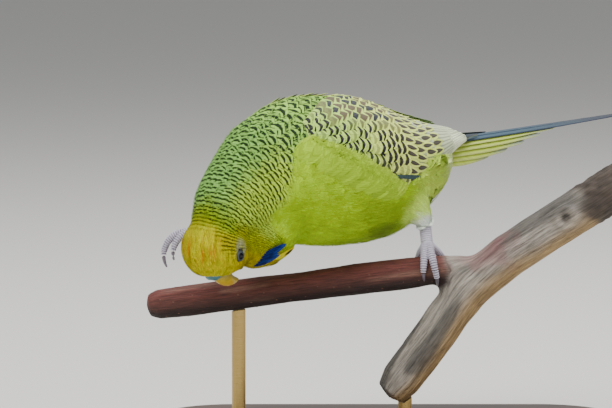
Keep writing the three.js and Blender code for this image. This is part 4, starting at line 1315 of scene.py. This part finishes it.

# Horn: smooth keratin with faint growth lines, waxy, yellow to dark olive towards the root, the olive partly the
# horn's own and partly painted shade under the cere
horn, tree, shader = newMaterial("billHorn", {"Roughness": 0.36, "Subsurface Weight": 0.1,
                                              "Subsurface Radius": (0.002, 0.001, 0.0005)})
place = objectPlace(tree)
split = addNode(tree, "ShaderNodeSeparateXYZ", inputs={0: place})
low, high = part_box("bill_upper")
rise = rangeNode(tree, split.outputs[2], low.z, high.z, 0.0, 1.0)
level = mathNode(tree, "MULTIPLY_ADD", noiseNode(tree, place, 500.0, 3.0), 0.5, rise)
# the dark olive at the root is partly the horn's own tone and partly painted shade under the cere
ramp = rampNode(tree, level, (0.2, colour(bill["tip"])), (0.5, colour(bill["middle"])),
                (1.25 / 1.3, colour(bill["root"])))
paint(tree, shader, ramp, noiseNode(tree, place, 1600.0), 0.25)

# Cere: soft waxy skin, blue-green with a bluer blush
cereSkin = mottled("cereSkin", bill["cere"], 420.0, 0.45, detail=3.0, strength=0.3)


# a CAD node remeshed finely with its edges rounded off
def rounded(name, node, voxel, rounds, material, slotName, grow=0.06):
    piece = remeshed(mergedCopy(name, (node,), grow), voxel)
    points, _, tris = meshArrays(piece.data)
    setPoints(piece.data, smoothed(points, edgesOf(tris), len(points), rounds))
    return finished(piece, material, slotName, node)


rounded("billUpper", "bill_upper", 0.2, 4, horn, "bill_horn")
rounded("billLower", "bill_lower", 0.2, 4, horn, "bill_horn")
rounded("cereSaddle", "cere", 0.17, 3, cereSkin, "cere_skin")

# feet: bare skin under rings of scutes, with dark claws
print("feet")
foot = {
    "plate": "#D0CBD6", "plateWorn": "#B2ACBA", "skin": "#9A93A2", "fold": "#746C7C",
    "toeRadius": 1.2, "branchRadius": 5.4, "gap": 0.3,
    "toes": {"left": [(-0.5, -2.6, 4, 96), (0.5, 1.9, 4, 118), (-0.5, -4, -4, -68), (0.5, 6.4, -4, -92)],
             "right": [(26, 20, 124, 15), (-8, 24, 140, 20.3), (150, -34, 140, 12.3), (-158, -34, 140, 16.8)]},
    "pitch": 0.76, "bulge": 0.22, "sink": 0.1, "claw": ("#3E3842", "#7A717C"),
}
branchEnd, branchJoin = np.array([-98.0, 0, -13.2]), np.array([14.0, 0, 0.9])
branchWay = unit(branchJoin - branchEnd)
branchUp = np.array([-branchWay[2], 0, branchWay[0]])


def roundPerch(run, turnDegrees, radius):
    a = math.radians(turnDegrees)
    return branchWay * run + branchUp * radius * math.cos(a) + np.array([0, -radius * math.sin(a), 0])


def birdInPerch(p):
    return np.array(p) @ birdTurn.T + bird["fromFoot"]


def toePaths(side):
    paths = []
    shares = np.linspace(0.04, 0.97, 24)
    if side == "left":
        grip = foot["branchRadius"] + foot["gap"] + foot["toeRadius"]
        for start, end, first, last in foot["toes"]["left"]:
            paths.append(np.array([roundPerch(start + (end - start) * s, first + (last - first) * s,
                                              grip + 1.1 * (1 - s) ** 3) for s in shares]))
        palm, ankle = roundPerch(0, 0, foot["branchRadius"] + foot["gap"] + 1.7), np.array([-1.8, 4.4, 17])
    else:
        palm, ankle = np.array([-80.5, -15.5, 13.6]), birdInPerch((32, -21.5, 14.5))
        ahead = unit(np.array([-92, -16, 12.5]) - palm)
        back = unit(np.array([-81, -16, 24.0]) - palm)
        left = unit(np.cross(back, ahead))
        back = np.cross(ahead, left)
        for way, lean, curl, long in foot["toes"]["right"]:
            way, lean, curl = math.radians(way), math.radians(lean), math.radians(curl)
            out, radius = ahead * math.cos(way) + left * math.sin(way), long / curl
            paths.append(np.array([palm + out * radius * (math.sin(curl * s - lean) + math.sin(lean))
                                   + back * radius * (math.cos(curl * s - lean) - math.cos(lean))
                                   for s in shares * 0.78]))
    girths = [np.interp(shares, (0, 0.25, 0.5, 0.75, 1), (1.5, 1.26, 1.24, 1.1, 0.9)) for _ in paths]
    shankShares = np.linspace(0.12, 0.8, 20)
    paths.append(palm + (ankle - palm) * shankShares[:, None])
    girths.append(np.full(20, 1.9))
    return paths, girths


# Foot skin: dry leathery scutes, lilac grey, darker between the scute rings and in the folds between them, partly
# the skin's own tone and partly painted shade
footSkin = mottled("footSkin", (foot["skin"], foot["fold"]), 1500.0, 0.62, isCells=True, strength=0.6,
                   distance=0.0002, isPitted=True)

# Scute plates: pale horny rings, slightly glossier than the skin between them
scutePlate = mottled("scutePlate", (foot["plate"], foot["plateWorn"]), 800.0, 0.5)

# Claw horn: dark, polished by wear
clawHorn = mottled("clawHorn", foot["claw"], 900.0, 0.35)


# an empty tree of Geometry Nodes with numbers and a material as inputs, and the inputs' identifiers
def newGrowth(name, *numbers):
    group = bpy.data.node_groups.new(name, "GeometryNodeTree")
    face = group.interface
    face.new_socket("Geometry", in_out="INPUT", socket_type="NodeSocketGeometry")
    sockets = [face.new_socket(number, in_out="INPUT", socket_type="NodeSocketFloat") for number in numbers]
    sockets.append(face.new_socket("Material", in_out="INPUT", socket_type="NodeSocketMaterial"))
    face.new_socket("Geometry", in_out="OUTPUT", socket_type="NodeSocketGeometry")
    start, end = addNode(group, "NodeGroupInput"), addNode(group, "NodeGroupOutput")
    return group, start.outputs, end, [socket.identifier for socket in sockets]


# ends a tree: one thing on each point, made real, smooth and of the material
def endGrowth(group, start, end, spots, thing, scale):
    many = addNode(group, "GeometryNodeInstanceOnPoints",
                   inputs={"Points": spots.outputs[0], "Instance": thing, "Rotation": spots.outputs["Rotation"],
                           "Scale": scale})
    real = addNode(group, "GeometryNodeRealizeInstances", inputs={0: many.outputs[0]})
    soft = addNode(group, "GeometryNodeSetShadeSmooth", inputs={0: real.outputs[0]})
    last = addNode(group, "GeometryNodeSetMaterial", inputs={0: soft.outputs[0], "Material": start[3]})
    group.links.new(last.outputs[0], end.inputs[0])


# the piece that a tree makes of a mesh, with the modifier applied
def grown(name, mesh, group, identifiers, values):
    piece = newObject(name, mesh)
    modifier = piece.modifiers.new("Growth", "NODES")
    modifier.node_group = group
    for identifier, value in zip(identifiers, values):
        modifier[identifier] = value
    applied(piece)
    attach(piece, "root")


# rings of scutes along paths
def scuteTree():
    group, start, end, identifiers = newGrowth("toeScutes", "Pitch", "Bulge")
    girth = addNode(group, "GeometryNodeInputNamedAttribute", {"data_type": "FLOAT"}, {0: "girth"})
    curve = addNode(group, "GeometryNodeMeshToCurve", inputs={0: start[0]})
    even = addNode(group, "GeometryNodeResampleCurve", {"mode": "LENGTH"},
                   {"Curve": curve.outputs[0], "Length": start[1]})
    spots = addNode(group, "GeometryNodeCurveToPoints", {"mode": "EVALUATED"}, {"Curve": even.outputs[0]})
    hoop = addNode(group, "GeometryNodeCurvePrimitiveCircle", inputs={"Resolution": 14, "Radius": 1.0})
    rim = addNode(group, "GeometryNodeCurvePrimitiveCircle", inputs={"Resolution": 6, "Radius": start[2]})
    ring = addNode(group, "GeometryNodeCurveToMesh",
                   inputs={"Curve": hoop.outputs[0], "Profile Curve": rim.outputs[0]})
    endGrowth(group, start, end, spots, ring.outputs[0], girth.outputs[0])
    return group, identifiers


scutes, scuteInputs = scuteTree()
for side in ("left", "right"):
    rounded(f"footSkin_{side}", f"foot_{side}", 0.24, 4, footSkin, "bare_skin", 0.08)
    for digit in ("inner_front", "outer_front", "inner_back", "outer_back"):
        rounded(f"clawHorn_{side}_{digit}", f"claw_{side}_{digit}", 0.13, 2, clawHorn, "claw_horn", 0.03)
    paths, girths = toePaths(side)
    mesh = bpy.data.meshes.new(f"scutes_{side}")
    lines, base = [], 0
    for path in paths:
        lines += [(base + i, base + i + 1) for i in range(len(path) - 1)]
        base += len(path)
    mesh.from_pydata(((np.concatenate(paths) + footPlace) * mm).tolist(), lines, [])
    setAttribute(mesh, "girth", (np.concatenate(girths)[:, None] - foot["sink"]) * mm)
    grown(f"scutes_{side}", mesh, scutes, scuteInputs, (foot["pitch"] * mm, foot["bulge"], scutePlate))

# perch: a red-barked branch out of a weathered limb, in one piece of wood
print("perch")
perch = {
    "limb": [(-14.6, -45), (3, -21.8), (12, -9), (23, 1.5), (37, 11), (55, 22), (73, 33.6)],
    "knot": (46.5, -7.0, 18.0), "barkFrom": 96.0,
    "voxel": 0.55, "joint": (11.0, 0.0, -1.0), "collar": (11.5, 0.0, -4.2), "collarSize": (8.6, 6.6, 8.4),
    "red": "#5A3028", "redLitTop": "#72362F", "redUnderShade": "#1E110E", "redPaleStreak": "#8A6152",
    "grey": "#968E83", "gold": "#A3865A", "patch": "#34322F", "blush": "#83434A", "bark": "#43382F",
    "scar": "#9A5A24", "hole": "#1E1713", "sawnPale": "#8D7A62", "sawnDark": "#4C3E30",
    "cork": ("#5A372E", "#8A6453"), "poresApart": 4.2, "poreSize": 0.32,
}
limbLine = runThrough([(x, 0, z) for x, z in perch["limb"]], np.linspace(0, 1, 160))
limbRun = np.r_[0, np.cumsum(np.linalg.norm(np.diff(limbLine, axis=0), axis=1))]
branchLine = np.linspace(branchEnd, branchJoin, 160)
branchRun = np.linspace(0, np.linalg.norm(branchJoin - branchEnd), 160)


# mm along a line, the two sideways shares, and mm away from it
def grainOf(points, line, run):
    k = np.concatenate([((part[:, None] - line) ** 2).sum(-1).argmin(1) for part in np.array_split(points, 30)])
    ahead = unit(np.gradient(line, axis=0))[k]
    out = points - line[k]
    sideways = np.array([0, -1.0, 0])
    up = np.cross(sideways, ahead)
    a, b = out @ sideways, (out * up).sum(1)
    size = np.maximum(np.hypot(a, b), 1e-6)
    return run[k] + (out * ahead).sum(1), a / size, b / size, size


def branchRelief(p, s, a, b):
    along = np.stack([s * 0.16, a * 5.4, b * 5.4], 1)
    return 0.16 * valueNoise(along, 1.3, 81) + 0.18 * valueNoise(p, 9.0, 82) - 0.1


def limbRelief(p, s, a, b):
    along = np.stack([s * 0.13, a * 7.8, b * 7.8], 1)
    grain = 0.24 * valueNoise(along, 1.4, 83) + 0.16 * valueNoise(along * [1, 2.4, 2.4], 1.4, 84)
    crack = valueNoise(along * [0.6, 1, 1], 2.6, 85)
    crack = -0.5 * np.exp(-(crack / 0.06) ** 2)
    bark = smooth(perch["barkFrom"] - 4, perch["barkFrom"] + 4, s + 3 * valueNoise(p, 5, 86))
    rough = 0.35 * valueNoise(p * [0.7, 1, 1], 1.6, 87) + 0.1
    away = np.linalg.norm(p - perch["knot"], axis=1)
    knot = 0.9 * np.exp(-((away - 3.4) / 1.3) ** 2) - 1.6 * np.exp(-(away / 1.7) ** 2)
    return grain * (1 - bark) + rough * bark + crack * (1 - bark) + knot - 0.25


def perchTone(p, s, a, b, share, sb, ab, bb):
    wood = {key: rgb(text) for key, text in perch.items() if isinstance(text, str)}
    tone = mix(wood["grey"], wood["gold"], smooth(-0.2, 0.8, 0.3 * valueNoise(p, 12, 91) - b))
    stain = valueNoise(np.stack([s * 0.35, a * 7, b * 7], 1), 6, 92)
    tone = mix(tone, wood["patch"], 0.7 * smooth(0.1, 0.45, stain + 0.45 * b - 0.22))
    blush = np.linalg.norm((p - (20, -2, 6.5)) * (0.62, 1, 1), axis=1) + 2 * valueNoise(p, 3, 95)
    tone = mix(tone, wood["blush"], 0.45 * smooth(10, 4.5, blush))
    bark = smooth(perch["barkFrom"] - 3, perch["barkFrom"] + 3, s + 3 * valueNoise(p, 5, 86))
    tone = mix(tone, wood["bark"] * (1 + 0.4 * valueNoise(p, 2.0, 93)[:, None]), bark)
    tone = mix(tone, wood["scar"], 0.8 * smooth(3.2, 1.4, np.linalg.norm(p - (50, -7.5, 9.7), axis=1)))
    # the knot's sunken middle is painted near-black, as shade in its hollow
    tone = mix(tone, wood["hole"], smooth(2.2, 0.9, np.linalg.norm(p - perch["knot"], axis=1)))
    growth = 0.5 + 0.5 * np.sin(2 * np.pi * np.linalg.norm(p - limbLine[0], axis=1) / 1.3)
    tone = mix(tone, mix(wood["sawnPale"], wood["sawnDark"], growth), smooth(1.2, 0.2, s))
    # the bark is painted lighter red on top, as light from above, and near-black underneath, as shade under the
    # branch
    red = mix(wood["red"], wood["redLitTop"], 0.8 * smooth(-0.1, 0.8, bb + 0.3 * valueNoise(p, 10, 96)))
    # paler streaks along the grain of the bark
    paleStreaks = valueNoise(np.stack([sb * 0.22, ab * 5, bb * 5], 1), 2.2, 97)
    red = mix(red, wood["redPaleStreak"], 0.6 * smooth(0.15, 0.7, paleStreaks))
    red = mix(red, wood["redUnderShade"], 0.92 * smooth(0.15, -0.75, bb))
    return mix(tone, red, share)


# Wood: thin red-brown bark on the branch, bare weathered grain on the limb, its fibres raised by drying
def woodMaterial():
    material, tree, shader = newMaterial("barkAndWeatheredWood", {"Roughness": 0.72})
    grain = addNode(tree, "ShaderNodeAttribute", {"attribute_name": "grain"})
    tint = addNode(tree, "ShaderNodeAttribute", {"attribute_name": "ground"})
    place = addNode(tree, "ShaderNodeMapping", inputs={0: grain.outputs["Vector"], "Scale": (0.06, 1.0, 1.0)})
    fibre = noiseNode(tree, place.outputs[0], 2.2, 8.0, Roughness=0.72)
    value = rangeNode(tree, fibre, 0.34, 0.66, 0.35, 1.45)
    toned = addNode(tree, "ShaderNodeHueSaturation", inputs={"Value": value, "Color": tint.outputs["Color"]})
    paint(tree, shader, toned.outputs[0], fibre, 0.9, 0.0007)
    return material


wood = mergedCopy("perchWood", ("perch_branch", "perch_fork"), 0.05)
collar = bmesh.new()
collar.from_mesh(wood.data)
ball = bmesh.ops.create_uvsphere(collar, u_segments=32, v_segments=20, radius=1.0)
for vert in ball["verts"]:
    vert.co = Vector((np.array(vert.co) * perch["collarSize"] + perch["collar"] + footPlace) * mm)
collar.to_mesh(wood.data)
collar.free()
wood = remeshed(wood, perch["voxel"])
points, _, tris = meshArrays(wood.data)
woodEdges = edgesOf(tris)
points = smoothed(points, woodEdges, len(points), 5)
local = points / mm - footPlace
blended = smoothed(local, woodEdges, len(points), 90)
local = mix(local, blended, smooth(17, 8, np.linalg.norm(local - perch["joint"], axis=1)))
s, a, b, limbAway = grainOf(local, limbLine, limbRun)
sb, ab, bb, branchAway = grainOf(local, branchLine, branchRun)
share = smooth(9.5, 3.5, local[:, 0] + 2.2 * valueNoise(local, 3.5, 98) + 0.35 * local[:, 2])
share = share * smooth(2.5, 0.5, branchAway - 5.4 - np.maximum(limbAway - 9, 0) * 3)
normals = vertexNormals(local, tris)
relief = mix(limbRelief(local, s, a, b)[:, None], branchRelief(local, sb, ab, bb)[:, None], share)
local = local + normals * relief
grain = mix(np.c_[s, a * 6, b * 6], np.c_[sb, ab * 6, bb * 6], share > 0.5)
setAttribute(wood.data, "grain", grain)
tone = np.clip(perchTone(local, s, a, b, share, sb, ab, bb), 0, 1)
setAttribute(wood.data, "ground", np.c_[tone, np.ones(len(tone))])
setPoints(wood.data, (local + footPlace) * mm)
finished(wood, woodMaterial(), "weathered_wood", "perch_branch", "perch_fork")


# small raised lenticels scattered over the bark
def lenticelTree():
    group, start, end, identifiers = newGrowth("barkLenticels", "Apart", "Size")
    spots = addNode(group, "GeometryNodeDistributePointsOnFaces", {"distribute_method": "POISSON"},
                    {"Mesh": start[0], "Distance Min": start[1], "Density Max": 200000.0, "Seed": 4})
    ball = addNode(group, "GeometryNodeMeshIcoSphere", inputs={"Radius": start[2], "Subdivisions": 2})
    flat = addNode(group, "GeometryNodeTransform",
                   inputs={"Geometry": ball.outputs[0], "Scale": (1.0, 0.55, 0.35)})
    vary = addNode(group, "FunctionNodeRandomValue", {"data_type": "FLOAT"}, {2: 0.5, 3: 1.2, "Seed": 9})
    endGrowth(group, start, end, spots, flat.outputs[0], vary.outputs[1])
    return group, identifiers


# Lenticels: corky pores, paler and drier than the bark round them
lenticelCork = mottled("lenticelCork", perch["cork"], 300.0, 0.8)

# the wood's surface without all but its red bark, for the lenticels to stand on
pores, poreInputs = lenticelTree()
bark = wood.data.copy()
red = bmesh.new()
red.from_mesh(bark)
red.verts.ensure_lookup_table()
bmesh.ops.delete(red, geom=[red.verts[i] for i in np.where(share < 0.95)[0]], context="VERTS")
red.to_mesh(bark)
red.free()
grown("lenticels", bark, pores, poreInputs, (perch["poresApart"] * mm, perch["poreSize"] * mm, lenticelCork))

# stand: the CAD's own base and rods
print("stand")
stand = {"walnut": ("#24170F", "#5E4029"), "brass": ("#A88A4C", "#CDB173")}


# Lacquered walnut: dark heartwood grain under a satin coat
def baseMaterial():
    material, tree, shader = newMaterial("lacqueredWalnut", {"Roughness": 0.42, "Coat Weight": 0.4,
                                                             "Coat Roughness": 0.15})
    long = addNode(tree, "ShaderNodeMapping", inputs={0: objectPlace(tree), "Scale": (0.09, 1.0, 1.0)}).outputs[0]
    grain = noiseNode(tree, long, 420.0, 5.0, Distortion=0.6)
    both = addNode(tree, "ShaderNodeMix", inputs={0: 0.5, 2: grain, 3: noiseNode(tree, long, 70.0, 3.0)})
    dark, light = (colour(text) for text in stand["walnut"])
    paint(tree, shader, rampNode(tree, both.outputs[0], (0.35, dark), (0.65, light)), grain, 0.12, 0.0002)
    return material


# Brushed brass: fine turning marks round the rod blur its reflections
def brassMaterial():
    material, tree, shader = newMaterial("brushedBrass", {"Metallic": 1.0})
    rings = addNode(tree, "ShaderNodeMapping", inputs={0: objectPlace(tree), "Scale": (1.0, 1.0, 14.0)})
    brushed = noiseNode(tree, rings.outputs[0], 300.0, 4.0)
    paint(tree, shader, mixNode(tree, brushed, *(colour(text) for text in stand["brass"])))
    tree.links.new(rangeNode(tree, brushed, 0.3, 0.7, 0.26, 0.42), shader.inputs["Roughness"])
    return material


walnut, brass = baseMaterial(), brassMaterial()
for nodeName, material in (("stand_base", walnut), ("stand_rod_branch", brass), ("stand_rod_limb", brass)):
    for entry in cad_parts[nodeName].material_slots:
        entry.material = material


print("stage, lights and camera")
stage = {
    "aim": (-42.76, 0.0, 22.15),
    "distance": 1465.0,
    "elevation": 5.0,
    "lens": 250.0,
    "floor": "#DCDAD4",
    "floorReach": 40.0,
    "world": "#E9EBEE",
    "worldStrength": 0.44,
    # each light's place from the middle, its side and its power
    "lights": {"key": ((-0.35, -0.75, 0.95), 0.7, 15.0), "top": ((0.25, 0.25, 1.1), 0.9, 16.0),
               "fill": ((0.9, -0.8, 0.35), 0.8, 3.2)},
}


def areaLight(name, place, target, size, power):
    lamp = bpy.data.lights.new(name, "AREA")
    lamp.shape, lamp.size, lamp.size_y = "RECTANGLE", size, size
    lamp.energy = power
    holder = newObject(name, lamp)
    holder.location = place
    holder.rotation_euler = (target - place).to_track_quat("-Z", "Y").to_euler()


# Matt paper: a plain light floor with no shine
reach = stage["floorReach"]
floorMesh = bpy.data.meshes.new("floor")
floorMesh.from_pydata([(-reach, -reach, 0), (reach, -reach, 0), (reach, reach, 0), (-reach, reach, 0)], [],
                      [(0, 1, 2, 3)])
floor = newObject("floor", floorMesh)
paper = newMaterial("mattPaperFloor", {"Base Color": colour(stage["floor"]), "Roughness": 0.9})[0]
floorMesh.materials.append(paper)

middle = Vector(footPlace * mm) + Vector(stage["aim"]) * mm
for name, (away, size, power) in stage["lights"].items():
    areaLight(name, middle + Vector(away), middle, size, power)

world = bpy.data.worlds.new("softRoom")
bpy.context.scene.world = world
world.use_nodes = True
world.node_tree.nodes["Background"].inputs[0].default_value = colour(stage["world"])
world.node_tree.nodes["Background"].inputs[1].default_value = stage["worldStrength"]

elevation = math.radians(stage["elevation"])
lens = bpy.data.cameras.new("camera")
lens.lens, lens.sensor_width = stage["lens"], 36.0
lens.clip_start, lens.clip_end = 0.05, 60.0
camera = newObject("camera", lens)
camera.location = middle + Vector((0, -math.cos(elevation), math.sin(elevation))) * stage["distance"] * mm
camera.rotation_euler = (math.pi / 2 - elevation, 0, 0)
bpy.context.scene.camera = camera
